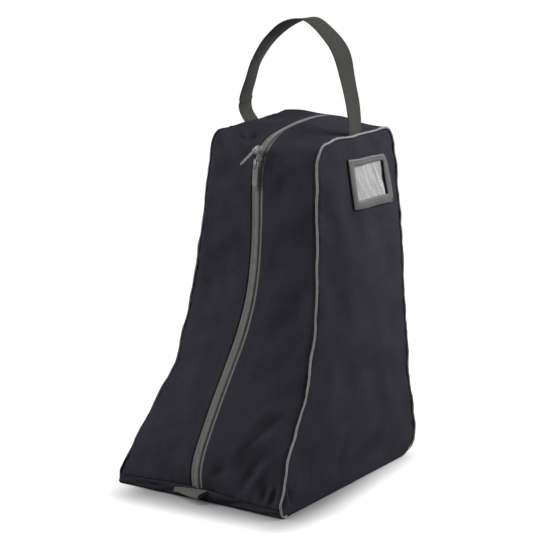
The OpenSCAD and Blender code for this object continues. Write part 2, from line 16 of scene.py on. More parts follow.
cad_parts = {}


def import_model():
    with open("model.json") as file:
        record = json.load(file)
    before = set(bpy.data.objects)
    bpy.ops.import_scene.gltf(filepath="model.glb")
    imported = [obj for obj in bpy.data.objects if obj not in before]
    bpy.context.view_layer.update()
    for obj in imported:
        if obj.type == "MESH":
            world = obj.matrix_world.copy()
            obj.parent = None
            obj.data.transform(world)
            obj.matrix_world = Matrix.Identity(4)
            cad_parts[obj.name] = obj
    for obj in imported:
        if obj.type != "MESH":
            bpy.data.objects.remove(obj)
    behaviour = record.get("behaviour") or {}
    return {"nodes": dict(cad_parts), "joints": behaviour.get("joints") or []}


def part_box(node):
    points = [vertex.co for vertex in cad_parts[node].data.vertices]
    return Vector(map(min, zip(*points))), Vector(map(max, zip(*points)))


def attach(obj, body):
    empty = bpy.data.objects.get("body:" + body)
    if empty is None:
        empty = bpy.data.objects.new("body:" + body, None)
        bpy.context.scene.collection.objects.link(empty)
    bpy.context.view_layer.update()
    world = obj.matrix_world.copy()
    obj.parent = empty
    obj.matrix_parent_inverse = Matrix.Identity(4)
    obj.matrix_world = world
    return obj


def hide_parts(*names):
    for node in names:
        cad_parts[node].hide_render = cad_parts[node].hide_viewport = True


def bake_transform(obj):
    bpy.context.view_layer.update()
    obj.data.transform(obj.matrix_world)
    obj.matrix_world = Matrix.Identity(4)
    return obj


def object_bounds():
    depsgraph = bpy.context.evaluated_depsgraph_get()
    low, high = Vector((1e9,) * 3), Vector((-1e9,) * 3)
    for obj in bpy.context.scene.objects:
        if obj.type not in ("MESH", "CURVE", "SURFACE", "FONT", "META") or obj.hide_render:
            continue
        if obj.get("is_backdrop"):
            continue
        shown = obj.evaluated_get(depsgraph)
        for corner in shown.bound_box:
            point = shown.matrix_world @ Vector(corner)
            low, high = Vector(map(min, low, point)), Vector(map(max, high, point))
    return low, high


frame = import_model()
cad_low, cad_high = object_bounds()
MM = 0.001


# ---- small tools ----
def unit(v):
    v = np.asarray(v, float)
    return v / np.linalg.norm(v, axis=-1, keepdims=True)


def corners(node):
    """Lowest and highest corner of a CAD node, in millimetres."""
    low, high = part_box(node)
    return np.array(low) / MM, np.array(high) / MM


def middle_of(node):
    low, high = corners(node)
    return (low + high) / 2


def joint(name):
    """A joint's pivot, in millimetres, and its axis."""
    found = next(j for j in frame["joints"] if j["name"] == name)
    return np.array(found.get("pos_m", (0, 0, 0))) / MM, unit(found["axis"])


def lerp(a, b, t):
    return a + (b - a) * t


def smooth(t):
    t = np.clip(t, 0, 1)
    return t * t * (3 - 2 * t)


def hump(value, centre, width):
    return np.exp(-((value - centre) / width) ** 2)


def stack(*parts):
    """Points from their coordinates, each an array or a number."""
    return np.stack(np.broadcast_arrays(*parts), axis=-1)


def lengths(line):
    """Distance along a line of points, from its start."""
    steps = np.linalg.norm(np.diff(line, axis=0), axis=1)
    return np.concatenate([[0], np.cumsum(steps)])


def read(marks, s, values):
    """Rows of values that stand at the distances s, read off at the marks."""
    return np.stack([np.interp(marks, s, column) for column in values.T], axis=-1)


def resample(line, step):
    """Points evenly spaced, about a step apart, along a line."""
    line = np.asarray(line, float)
    s = lengths(line)
    return read(np.linspace(0, s[-1], max(2, int(round(s[-1] / step)) + 1)), s, line)


def close(points, step):
    """Points evenly spaced round a closed line, whose last point isn't its first."""
    return resample([*points, points[0]], step)[:-1]


def heading(loop):
    """Unit direction at each point of a closed line."""
    return unit(np.roll(loop, -1, axis=0) - np.roll(loop, 1, axis=0))


def smooth_curve(knots, step, softness):
    """A curve near the knots: their polyline resampled, then softened over that many points."""
    line = resample(knots, step)
    reach = 3 * softness
    kernel = np.exp(-0.5 * (np.arange(-reach, reach + 1) / softness) ** 2)
    kernel /= kernel.sum()
    before = 2 * line[0] - line[reach:0:-1]
    after = 2 * line[-1] - line[-2:-reach - 2:-1]
    padded = np.vstack([before, line, after])
    return np.stack([np.convolve(column, kernel, "valid") for column in padded.T], axis=1)


def undulate(a, b, size, seed, waves=8):
    """A smooth random undulation about 1 high, with crests about that size apart."""
    rng = np.random.default_rng(seed)
    total = 0
    for _ in range(waves):
        turn, phase, scale = rng.uniform(0, pi), rng.uniform(0, 2 * pi), rng.uniform(0.7, 1.5)
        total = total + np.sin((a * cos(turn) + b * sin(turn)) * 2 * pi / (size * scale) + phase)
    return total / sqrt(waves)


def fold_all(a, b, folds):
    """Soft ridges, or grooves where the depth is negative, on a panel with coordinates a and b.
    Each is (start a, start b, end a, end b, width, depth)."""
    total = 0
    for a0, b0, a1, b1, width, depth in folds:
        run_a, run_b = a1 - a0, b1 - b0
        along = ((a - a0) * run_a + (b - b0) * run_b) / (run_a ** 2 + run_b ** 2)
        kept = np.clip(along, 0, 1)
        away = np.hypot(a - a0 - kept * run_a, b - b0 - kept * run_b)
        taper = smooth(along + 0.25) * smooth(1.25 - along)
        total = total + 1.6 * depth * taper * hump(away, 0, width)
    return total


# ---- driving sizes, anchored to the frame ----
base_low, base_high = corners("base_panel")
TOE_Y, BAND_H = base_low[1], base_high[2]
PIPING_R = 1.75
BODY_H = corners("right_piping")[1][2] - PIPING_R
HEEL_Y = TOE_Y + 325
FRONT_Y = HEEL_Y - 186
BASE_W, TOP_W, FOOT_FLARE = 244, 156, 0.35
INSTEP_Z = 132
BACK_BOW, BACK_BULGE, SIDE_PILLOW = 6, 4, 8
FRONT_CORNER_R, BACK_CORNER_R, HEEL_R, TOE_R = 22, 18, 38, 5
FRONT_FOOT = 18
ZIP_SHOW, TAPE_W = 15, 30
CLOTH_T = 0.5
CLOTH_INSET = 0.4  # from a side seam's line to the edge of the cloth beside it
CORD_TUCK = 10  # height over which the piping is drawn in under the bag
HEM_W = 2.2  # from the hem beside the zip to the stitches that hold it
STEP = 2.0  # between stations along the zip
HOLLOW_R, CROWN_R = 318, 224
# The zip line in the middle plane: [behind the toe seam, height].
ZIP_KNOTS = [(2, 12), (-4, 30), (2, 55), (25, 97), (57, 140), (91, 184), (115, 230), (126, 279),
             (129, 325), (129, 365), (130.5, 392), (136, 410), (145, 419.5), (160, 427.5),
             (176, 432.5), (197, 436.3), (232, 439.6), (262, 440.4), (288, 439), (308, 436),
             (322, 431.5)]
SIDES = ((1, "right"), (-1, "left"))


# ---- meshes ----
def new_object(name, data):
    made = bpy.data.objects.new(name, data)
    bpy.context.scene.collection.objects.link(made)
    return made


def make_mesh(name, points, faces, uvs=None):
    """A mesh object from points in millimetres. uvs has one (u, v) in millimetres per point."""
    mesh = bpy.data.meshes.new(name)
    mesh.from_pydata((np.asarray(points, float).reshape(-1, 3) * MM).tolist(), [], faces)
    if uvs is not None:
        index = np.empty(len(mesh.loops), int)
        mesh.loops.foreach_get("vertex_index", index)
        uvs = np.asarray(uvs).reshape(-1, 2)[index] * MM
        mesh.uv_layers.new(name="UVMap").data.foreach_set("uv", uvs.ravel())
    mesh.shade_smooth()
    mesh.update()
    return new_object(name, mesh)


def grid_faces(rows, columns, first=0, wrap=False, flip=False):
    """Quads of a grid of points; wrap joins the last column to the first."""
    faces = []
    for i in range(rows - 1):
        for j in range(columns if wrap else columns - 1):
            a, b = (first + i * columns + k for k in (j, (j + 1) % columns))
            c, d = b + columns, a + columns
            faces.append((a, d, c, b) if flip else (a, b, c, d))
    return faces


def bar_faces(rows, sides, first=0):
    """Faces of a solid bar: the grid round it, then its two ends."""
    last = first + rows * sides
    return grid_faces(rows, sides, first, wrap=True) + [
        tuple(range(first, first + sides))[::-1], tuple(range(last - sides, last))]


def grid_piece(name, grid, wrap=False, flip=False):
    """A sheet from a grid of points, with lengths along its rows and columns as its weave's."""
    rows, columns = grid.shape[:2]
    across = np.linalg.norm(np.diff(grid, axis=1), axis=2)
    up = np.linalg.norm(np.diff(grid, axis=0), axis=2).mean(axis=1)
    u = np.concatenate([np.zeros((rows, 1)), np.cumsum(across, axis=1)], axis=1)
    v = np.concatenate([[0], np.cumsum(up)])
    return make_mesh(name, grid, grid_faces(rows, columns, 0, wrap, flip), stack(u, v[:, None]))


def raised(grid, lift):
    """A grid moved outwards by lift."""
    normal = unit(np.cross(np.gradient(grid, axis=1), np.gradient(grid, axis=0)))
    return grid + lift[..., None] * normal


def turns_of(count):
    return np.linspace(0, 2 * pi, count, endpoint=False)


def spokes(turns, across, outward):
    """Directions at each turn round each point, from its two unit vectors."""
    return (np.cos(turns)[None, :, None] * across[:, None]
            + np.sin(turns)[None, :, None] * outward[:, None])


def tube(name, line, across, outward, radius, sides):
    """A round bar along a closed line; across and outward are unit vectors at its points."""
    turns = turns_of(sides)
    radius = np.broadcast_to(radius, (len(line),))
    rings = line[:, None] + radius[:, None, None] * spokes(turns, across, outward)
    count = len(line) * sides
    faces = [tuple(i % count for i in f) for f in grid_faces(len(line) + 1, sides, wrap=True)]
    uvs = stack(turns * radius.mean(), lengths(rings[:, 0])[:, None])
    return make_mesh(name, rings, faces, uvs)


def beads(name, starts, ends, ups, profile):
    """Many small spindles, from starts to ends. profile rows are [share of the way, radius,
    height over the line], and ups are the unit vectors of that height."""
    run, sides = ends - starts, 6
    spoke = spokes(turns_of(sides), unit(np.cross(run, ups)), ups)
    solid = np.stack([(starts + share * run + height * ups)[:, None] + radius * spoke
                      for share, radius, height in profile], axis=1)
    count, rows = solid.shape[:2]
    faces = [f for k in range(count) for f in bar_faces(rows, sides, k * rows * sides)]
    return make_mesh(name, solid, faces)


def stitches(name, line, outward, length=2.6, gap=1.0, radius=0.24, lift=0.1):
    """A row of sewn stitches along a line of points on the cloth."""
    s = lengths(line)
    marks = np.arange(0.5, s[-1] - length, length + gap)
    profile = [(0, radius * 0.5, -0.3), (0.15, radius, lift * 0.4), (0.5, radius * 1.1, lift),
               (0.85, radius, lift * 0.4), (1, radius * 0.5, -0.3)]
    return beads(name, read(marks, s, line), read(marks + length, s, line),
                 unit(read(marks, s, outward)), profile)


def plate(name, outlines, thickness, bevel, height, place):
    """A flat plate with rounded edges. outlines holds its outline and any holes, as (a, b)
    points, and place turns an array of (a, b, height) into points of the bag."""
    curve = bpy.data.curves.new(name, "CURVE")
    curve.dimensions, curve.fill_mode = "2D", "BOTH"
    curve.extrude, curve.bevel_depth, curve.bevel_resolution = thickness / 2 - bevel, bevel, 3
    curve.offset = -bevel
    for outline in outlines:
        spline = curve.splines.new("POLY")
        spline.points.add(len(outline) - 1)
        spline.points.foreach_set("co", [x for a, b in outline for x in (a, b, 0, 1)])
        spline.use_cyclic_u = True
    draft = bpy.data.objects.new(name + "_draft", curve)
    mesh = bpy.data.meshes.new_from_object(draft)
    flat = np.array([v.co[:] for v in mesh.vertices])
    flat[:, 2] += thickness / 2
    flat[:, 2] += height
    faces = [tuple(p.vertices) for p in mesh.polygons]
    bpy.data.objects.remove(draft)
    bpy.data.curves.remove(curve)
    bpy.data.meshes.remove(mesh)
    piece = make_mesh(name, place(flat), faces, flat[:, :2])
    piece.modifiers.new("weld", "WELD").merge_threshold = 0.00001
    piece.modifiers.new("edges", "EDGE_SPLIT").split_angle = radians(50)
    return piece


def round_rect(length, height, radius):
    """Outline of a rectangle with round corners, centred at the origin, run anticlockwise."""
    points, steps = [], 5
    for cx, cy, start in ((1, -1, -90), (1, 1, 0), (-1, 1, 90), (-1, -1, 180)):
        for k in range(steps + 1):
            turn = radians(start + 90 * k / steps)
            points.append((cx * (length / 2 - radius) + radius * cos(turn),
                           cy * (height / 2 - radius) + radius * sin(turn)))
    return points


def local_frame(origin, *axes):
    """Turns local (x, y, z) points to the bag's, from an origin and three unit vectors."""
    axes = np.array(axes, float)
    return lambda points: np.asarray(origin) + np.asarray(points, float) @ axes


def sheet(name, grid, thickness=CLOTH_T, **shape):
    """A grid piece with a thickness behind it."""
    piece = grid_piece(name, grid, **shape)
    solid = piece.modifiers.new("cloth", "SOLIDIFY")
    solid.thickness, solid.offset = thickness * MM, -1
    return piece


# ---- the seams and the zip line ----
def half_w(z):
    t = 1 - np.asarray(z) / BODY_H
    return (TOP_W + (BASE_W - TOP_W) * ((1 - FOOT_FLARE) * t + FOOT_FLARE * t ** 3)) / 2


def bezier(points, t):
    a, b, c, d = (np.array(p, float) for p in points)
    t = np.asarray(t)[:, None]
    return (1 - t) ** 3 * a + 3 * (1 - t) ** 2 * t * b + 3 * (1 - t) * t * t * c + t ** 3 * d


front_curve = bezier([(TOE_Y, FRONT_FOOT), (lerp(TOE_Y, FRONT_Y, 0.53), INSTEP_Z),
                      (lerp(TOE_Y, FRONT_Y, 0.92), INSTEP_Z),
                      (FRONT_Y, BODY_H - FRONT_CORNER_R)], np.linspace(0, 1, 400))


def front_line(z):
    return np.interp(z, front_curve[:, 1], front_curve[:, 0])


def back_line(z):
    return HEEL_Y + BACK_BOW * np.sin(pi * np.asarray(z) / BODY_H)


def round_off(z, low_r, high_r, inset):
    """How far a rounded corner draws the seam's outline in at a height."""
    over, under = z - (BODY_H - high_r), PIPING_R + low_r - z
    high, low = high_r - inset, low_r - inset
    top = high - np.sqrt(np.maximum(0, high ** 2 - np.maximum(over, 0) ** 2))
    foot = low - np.sqrt(np.maximum(0, low ** 2 - np.maximum(under, 0) ** 2))
    return np.where(over > 0, top, np.where(under > 0, foot, 0))


def seam_front(z, inset=0.0):
    slope = (front_line(z + 1) - front_line(z - 1)) / 2
    return front_line(z) + inset * np.hypot(1, slope) + round_off(z, TOE_R, FRONT_CORNER_R, inset)


def seam_back(z, inset=0.0):
    return back_line(z) - inset - round_off(z, HEEL_R, BACK_CORNER_R, inset)


def arc(centre, radius, start, end, count):
    """Points [y, z] on an arc; the angle of its outward normal is 0 at the front, 90 on top."""
    a = np.radians(np.linspace(start, end, count))
    return stack(centre[0] - radius * np.cos(a), centre[1] + radius * np.sin(a))


zip_line = smooth_curve([(TOE_Y + y, z) for y, z in ZIP_KNOTS], STEP, 7)
zip_s = lengths(zip_line)
ZIP_LENGTH = zip_s[-1]
tangents = unit(np.gradient(zip_line, axis=0))


def at_zip(s):
    return read(s, zip_s, zip_line)


def zip_tangent(s):
    return unit(read(s, zip_s, tangents))


def zip_points(s, x, height):
    """Points on or over the zip line, at distances along it, beside it and out of it."""
    middle, t = at_zip(s), zip_tangent(s)
    return stack(x, middle[..., 0] - height * t[..., 1], middle[..., 1] + height * t[..., 0])


def zip_outward(s):
    t = zip_tangent(s)
    return stack(0, -t[..., 1], t[..., 0])


front_corner = (FRONT_Y + FRONT_CORNER_R, BODY_H - FRONT_CORNER_R)
back_corner = (float(back_line(BODY_H - BACK_CORNER_R)) - BACK_CORNER_R, BODY_H - BACK_CORNER_R)
heel_corner = (float(back_line(PIPING_R + HEEL_R)) - HEEL_R, PIPING_R + HEEL_R)
toe_corner = (TOE_Y + TOE_R, PIPING_R + TOE_R)
leg_z = np.linspace(PIPING_R + TOE_R, BODY_H - FRONT_CORNER_R, 130)
back_z = np.linspace(BODY_H - BACK_CORNER_R, PIPING_R + HEEL_R, 110)
seam_loop = resample(np.vstack([
    arc(toe_corner, TOE_R, -90, 0, 8), stack(seam_front(leg_z), leg_z),
    arc(front_corner, FRONT_CORNER_R, 8, 90, 14), arc(back_corner, BACK_CORNER_R, 90, 172, 14),
    stack(back_line(back_z), back_z), arc(heel_corner, HEEL_R, 188, 270, 20),
    [(toe_corner[0], PIPING_R)]]), 2.5)[:-1]


def tuck(y, z, reach=1.3):
    """How far the side's lower edge rolls in under the bag, away from the toe."""
    k = np.clip(1 - (z - 1.2) / reach, 0, 1)
    along = smooth((y - TOE_Y - 4) / 26) * smooth((HEEL_Y - y + 6) / 30)
    return reach * (1 - np.sqrt(1 - k ** 2)) * along


def pillow(y, z):
    v = (y - seam_front(z)) / (seam_back(z) - seam_front(z))
    u = z / BODY_H
    return SIDE_PILLOW * (1 - (2 * v - 1) ** 2) * (1 - (2 * u - 1) ** 4)


def settle(points):
    """How the filled bag has settled: broad waves that carry cloth, seams and trim together,
    a fuller instep and calf, and a top that stands higher on the left than on the right."""
    x, y, z = points.T
    rng = np.random.default_rng(5)
    moved = np.zeros_like(points)
    for _ in range(9):
        wave = unit(rng.normal(size=3)) * 2 * pi / rng.uniform(38, 105)
        push = rng.normal(size=3) * 0.3
        moved += np.sin(points @ wave + rng.uniform(0, 2 * pi))[:, None] * push
    moved *= (smooth(np.abs(x) / 45) * smooth(z / 25))[:, None]
    left, right = smooth(-x / 65), smooth(x / 65)
    ahead = y - front_line(z)
    front = hump(ahead, 0, 70)
    moved[:, 1] -= 4.0 * hump(z, 85, 36) * right * front
    flank = 5.4 * hump(z, 139, 25) - 3.0 * hump(z, 45, 40) + 2.4 * hump(z, 405, 28)
    flank = flank - 1.2 * hump(z, 330, 18)
    moved[:, 0] += flank * left * front
    moved[:, 0] -= 3.0 * smooth((105 - z) / 70) * (1 - smooth(np.abs(x) / 90)) * front
    moved[:, 1] += smooth((y - 60) / 90) * (4.2 * hump(z, 300, 42) - 3.8 * hump(z, 115, 60))
    top, rear = smooth((z - 392) / 32), smooth((y - 70) / 85)
    moved[:, 2] += top * (left * (2.6 + 0.9 * rear) - right * (0.8 + 3.4 * hump(y, 98, 52)))
    brow = hump(y, FRONT_Y + 3, 24) * hump(z, BODY_H - 4, 26) * right
    moved += brow[:, None] * (0, 4.5, -2.2)
    corner = hump(y, HEEL_Y, 17) * hump(z, BODY_H, 17)
    moved += (corner * left)[:, None] * (-2.5, 7.5, 4.0) - (corner * right)[:, None] * (0, 2.0, 2.4)
    return points + moved


def settle_piece(piece):
    mesh = piece.data
    points = np.empty(len(mesh.vertices) * 3)
    mesh.vertices.foreach_get("co", points)
    points = settle(points.reshape(-1, 3) / MM) * MM
    mesh.vertices.foreach_set("co", points.ravel())
    mesh.update()


def dress(piece, body, slot, node=None, material=None):
    """Gives a piece its body and its material, which is the slot's unless it is sewn thread, and
    hides the CAD node it stands for. The pieces of the bag and the card, and the handle, settle with
    the bag. The handle alone has no body here."""
    piece.data.materials.append(material or MATERIALS[slot])
    if body in ("bag", "card", None):
        settle_piece(piece)
    if body:
        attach(piece, body)
    if node:
        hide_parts(node)


# ---- materials ----
class Nodes:
    """The nodes of a material or a world. An input is a value or another node's output."""

    def __init__(self, owner):
        owner.use_nodes = True
        self.tree = owner.node_tree
        self.add, self.take, self.times, self.most = (
            partial(self.math, kind) for kind in ("ADD", "SUBTRACT", "MULTIPLY", "MAXIMUM"))

    def feed(self, made, inputs):
        for key, value in dict(inputs).items():
            if isinstance(value, bpy.types.NodeSocket):
                self.tree.links.new(value, made.inputs[key])
            else:
                made.inputs[key].default_value = value

    def node(self, kind, inputs=(), **settings):
        """Makes a node and gives its first output."""
        made = self.tree.nodes.new("ShaderNode" + kind)
        for key, value in settings.items():
            setattr(made, key, value)
        self.feed(made, inputs)
        return made.outputs[0]

    def math(self, operation, a, b=0.0):
        return self.node("Math", {0: a, 1: b}, operation=operation)

    def coordinate(self, kind):
        return self.node("TexCoord").node.outputs[kind]

    def split(self, vector):
        return self.node("SeparateXYZ", {0: vector}).node.outputs[:]

    def seen(self):
        """1 for the rays of the camera, reflections and transmission, 0 for the others."""
        rays = self.node("LightPath").node.outputs
        seen = self.most(rays["Is Camera Ray"], rays["Is Glossy Ray"])
        return self.most(seen, rays["Is Transmission Ray"])


class Paint(Nodes):
    """A procedural material: a Principled shader and the nodes that feed it. Each kind of
    surface below gives the material."""

    def __init__(self, name, color, roughness, **sockets):
        self.material = bpy.data.materials.new(name)
        super().__init__(self.material)
        self.color, self.roughness = color, roughness
        self.set(Base_Color=(*color, 1), Roughness=roughness, **sockets)

    def set(self, **sockets):
        """Feeds the shader's inputs, named with _ for a space."""
        shader = self.tree.nodes["Principled BSDF"]
        self.feed(shader, {key.replace("_", " "): value for key, value in sockets.items()})

    def axes(self, coordinate="UV"):
        """A texture coordinate in millimetres, and its first two axes."""
        source = {0: self.coordinate(coordinate), 3: (1 / MM,) * 3}
        mapped = self.node("Mapping", source)
        return mapped, *self.split(mapped)[:2]

    def noise(self, vector, size, detail=2.0):
        return self.node("TexNoise", {"Vector": vector, "Scale": 1 / size,
                                                "Detail": detail, "Roughness": 0.55})

    def wave(self, axis, period):
        return self.math("SINE", self.times(axis, 2 * pi / period))

    def tint(self, factor, low, high):
        """Colours the shader between a darker and a lighter share of its colour."""
        ramp = self.node("ValToRGB", {0: factor})
        stops = ramp.node.color_ramp.elements
        for stop, position, share in zip(stops, (0.3, 0.7), (low, high)):
            stop.position = position
            stop.color = (*(c * share for c in self.color), 1)
        self.set(Base_Color=ramp)

    def bump(self, height, depth, **under):
        """Adds relief of a depth in millimetres, over the relief of another bump."""
        made = self.node("Bump", {"Height": height, "Distance": depth * MM,
                                            "Strength": 1.0, **under})
        self.set(Normal=made)
        return made

    def woven(self, thread, relief, tints=(0.85, 1.15)):
        """Plain-woven cloth: over-and-under threads, slubs, and softly uneven colour."""
        mapped, u, v = self.axes()
        over = self.times(self.wave(u, 2 * thread), self.wave(v, 2 * thread))
        slubs, cloudy = self.noise(mapped, 7), self.noise(mapped, 45, 4)
        self.tint(self.add(self.times(slubs, 0.35), self.times(cloudy, 0.65)), *tints)
        self.bump(over, relief, Normal=self.bump(slubs, 0.25))
        return self.material

    def ribbed(self, rib, relief):
        """Grosgrain or binding: ribs across it, and finer threads along it."""
        mapped, u, v = self.axes()
        ribs = self.wave(v, rib)
        height = self.add(ribs, self.times(self.times(ribs, self.wave(u, rib * 0.6)), 0.8))
        worn = self.noise(mapped, 9, 3)
        self.tint(self.add(self.times(height, 0.08), worn), 0.8, 1.18)
        self.bump(height, relief, Normal=self.bump(worn, 0.15))
        return self.material

    def herringbone(self, stripe, thread, relief, shade):
        """Twill tape whose diagonal threads turn back at each stripe."""
        mapped, u, v = self.axes()
        diagonal = self.wave(self.add(v, self.math("PINGPONG", u, stripe)), thread)
        worn = self.noise(mapped, 6, 3)
        self.tint(self.add(self.times(diagonal, shade), worn), 0.78, 1.2)
        self.bump(self.add(diagonal, self.times(self.wave(u, thread * 0.7), 0.4)), relief)
        return self.material

    def moulded(self, grain, relief, tints=(0.88, 1.12)):
        """Moulded plastic, vinyl or painted metal, with a fine grain and uneven gloss."""
        mapped = self.axes("Object")[0]
        broad = self.noise(mapped, grain * 12)
        self.tint(broad, *tints)
        self.set(Roughness=self.add(self.times(broad, 0.16), self.roughness - 0.08))
        self.bump(self.noise(mapped, grain, 3), relief)
        return self.material

    def painted_sheen_streaks(self):
        """Clear film with painted sheen: soft, slanting streaks where its whitish colour shows more,
        standing in for light on its slack.
        """
        _, u, v = self.axes()
        slant = {0: self.add(u, self.times(v, 0.5)), 1: self.times(v, 0.2)}
        streak = self.noise(self.node("CombineXYZ", slant), 9, 1.0)
        # Where the streaks rise the film's white shows more over the card: a painted sheen.
        painted_shine = self.times(self.most(self.take(streak, 0.42), 0.0), 0.8)
        self.set(Alpha=self.add(painted_shine, 0.1))
        return self.material


DULL = {"Specular_IOR_Level": 0.0}
SOFT_GLOSS = {"Specular_IOR_Level": 0.1}
thread = Paint("thread", (0.022, 0.022, 0.028), 0.6, **SOFT_GLOSS).moulded(0.2, 0.03)
# Each record slot's material.
MATERIALS = {
    "body_fabric": Paint("body_cloth", (0.043, 0.0415, 0.053), 0.7, **DULL).woven(0.45, 0.07),
    "base_fabric": Paint("base_cloth", (0.038, 0.037, 0.047), 0.7, **DULL).woven(0.5, 0.06),
    "base_board": Paint("board_plastic", (0.04, 0.04, 0.045), 0.6).moulded(1.2, 0.04),
    "piping": Paint("piping_cloth", (0.26, 0.26, 0.255), 0.75, Sheen_Weight=0.2).woven(
        0.35, 0.05, (0.78, 1.15)),
    "binding": Paint("binding_cloth", (0.02, 0.02, 0.022), 0.8).ribbed(0.9, 0.08),
    "zip_tape": Paint("tape_cloth", (0.168, 0.172, 0.158), 0.8, Sheen_Weight=0.15).herringbone(
        1.6, 0.7, 0.07, 0.3),
    "zip_coil": Paint("coil_plastic", (0.2, 0.204, 0.19), 0.5).moulded(0.4, 0.01),
    "slider_metal": Paint("slider_paint", (0.2, 0.2, 0.2), 0.42, Metallic=0.35).moulded(0.5, 0.008),
    "bright_metal": Paint("bright_metal", (0.3, 0.3, 0.295), 0.42, Metallic=0.9).moulded(0.4, 0.006),
    "pull_grip": Paint("grip_rubber", (0.2, 0.2, 0.198), 0.5).moulded(0.6, 0.012),
    "end_tab": Paint("tab_cloth", (0.1, 0.1, 0.097), 0.75, Sheen_Weight=0.2).ribbed(1.1, 0.12),
    "webbing": Paint("webbing", (0.068, 0.068, 0.062), 0.8, **SOFT_GLOSS).herringbone(
        40.0, 2.4, 0.3, 0.55),
    "pocket_frame": Paint("frame_vinyl", (0.063, 0.063, 0.062), 0.55).moulded(0.8, 0.05),
    "window_film": Paint("clear_film", (0.93, 0.93, 0.93), 0.22, Specular_IOR_Level=0.6).painted_sheen_streaks(),
    "name_card": Paint("card_paper", (0.26, 0.26, 0.26), 0.7).moulded(1.2, 0.01, (0.92, 1.08)),
}


# ---- cloth panels ----
pocket_axis = joint("card_slide")[1]
pocket_middle = middle_of("pocket_frame")
pocket_turn = atan2(pocket_axis[2], pocket_axis[1])


def beside_pocket(y, z):
    """0 under the card pocket, where the cloth lies smooth, and 1 well away from it."""
    y, z = y - pocket_middle[1], z - pocket_middle[2]
    along = np.abs(y * cos(pocket_turn) + z * sin(pocket_turn)) / 58
    up = np.abs(z * cos(pocket_turn) - y * sin(pocket_turn)) / 40
    return smooth((np.maximum(along, up) - 0.9) / 0.5)


def edge_puckers(along, away, seed, size=17.0, reach=11.0, high=0.55):
    """Small gathers that the stitching draws into the cloth beside a seam."""
    ripple = undulate(along, away * 0.25, size, seed, 6)
    return high * ripple * np.exp(-np.maximum(away, 0) / reach)


def valley(away, depth=1.6):
    """The dip between a panel and the piping; at the seam itself the cloth rises to the cord."""
    return depth * hump(away, 1.8, 2.1)


def band_seam_z(x):
    """Height of the seam between the base's band and the front panels, bowed in the middle
    and lower on the right."""
    return 10.8 + 5.2 * np.cos(np.clip(x / 122, -1, 1) * pi / 2) - 3.4 * hump(x, 84, 38)


def side_cloth(side, folds):
    """One pillowed side panel, tucked in along its piping and rolled under at the base."""
    seed = 11 if side > 0 else 12
    shares, columns = np.linspace(0, 1, 150), np.linspace(0, 1, 92)
    rows = lerp(1.2, BODY_H - CLOTH_INSET, shares - np.sin(2 * pi * shares) / 9)
    columns = columns - np.sin(2 * pi * columns) / 14
    z = np.broadcast_to(rows[:, None], (len(rows), len(columns)))
    front, back = (seam(rows, CLOTH_INSET)[:, None] for seam in (seam_front, seam_back))
    y = lerp(front, back, columns)
    away = np.minimum.reduce([(y - seam_front(z)) * 0.85, seam_back(z) - y, BODY_H - z])
    clear = beside_pocket(y, z) if side > 0 else 1
    calm = smooth(away / 40) * smooth(z / 30) * clear
    x = half_w(z) + pillow(y, z) - tuck(y, z) - valley(away)
    x += edge_puckers(z + 0.8 * y, away, seed)
    x += calm * (1.5 * undulate(y, z, 120, seed + 2) + 0.35 * undulate(y, z, 38, seed + 3))
    x += fold_all(y, z, folds) * smooth(away / 6) * smooth((z - 2) / 8) * clear
    return stack(x, y, z)


def gusset_lines():
    """Matching stations up the front, round the bend and over the top: distance along the
    zip line, and the side seam's [y, z]."""
    front_rows, bend_rows, top_rows = 176, 24, 62
    crest = int(np.argmax(zip_line[:, 1]))
    over_y, over_s = zip_line[crest // 2:, 0], zip_s[crest // 2:]
    top_y, bend_z = front_corner
    foot_s, bend_s = np.interp((FRONT_FOOT - 3, bend_z), zip_line[:crest, 1], zip_s[:crest])
    steps = foot_s + (bend_s - foot_s) * np.linspace(0, 1, front_rows) ** 1.1
    heights = np.interp(steps, zip_s, zip_line[:, 1])
    ys = np.linspace(top_y, zip_line[-1, 0], top_rows)
    round_bend = np.linspace(bend_s, np.interp(top_y, over_y, over_s), bend_rows)
    s = np.concatenate([steps, round_bend[1:], np.interp(ys, over_y, over_s)[1:]])
    seam = np.vstack([stack(front_line(heights), heights),
                      arc(front_corner, FRONT_CORNER_R, 0, 90, bend_rows)[1:],
                      stack(np.linspace(top_y, back_corner[0], top_rows), BODY_H)[1:]])
    return s, seam, bend_s


station_s, station_seam, BEND_S = gusset_lines()
FOOT_S = station_s[0]


def span_share(x, seam_x, tent):
    """Share of the way from the zip line to the side seam, by a cloth that bows outwards
    where tent is 0 and falls straight from the zip where it is 1."""
    flat_x = TAPE_W / 2 - 4
    share = np.clip((x - flat_x) / (seam_x - flat_x), 0, 1)
    return lerp(share ** 2, 1 - (1 - share) ** 2, tent)


def loft(x, inner, outer, share):
    """Points at x whose [y, z] go from the inner line to the outer by their share."""
    yz = lerp(inner[:, None], outer[:, None], share[..., None])
    return np.concatenate([x[..., None], yz], axis=2)


def hem_x(side, s):
    """Distance of the front cloth's hem from the zip's middle: it closes in over the top."""
    front, top = (ZIP_SHOW / 2 + 0.2, 5.0) if side > 0 else (ZIP_SHOW / 2 + 1.4, 5.2)
    return lerp(front, top, smooth((s - BEND_S - 8) / 70)) + 0.3 * undulate(s, 0, 90, 21)


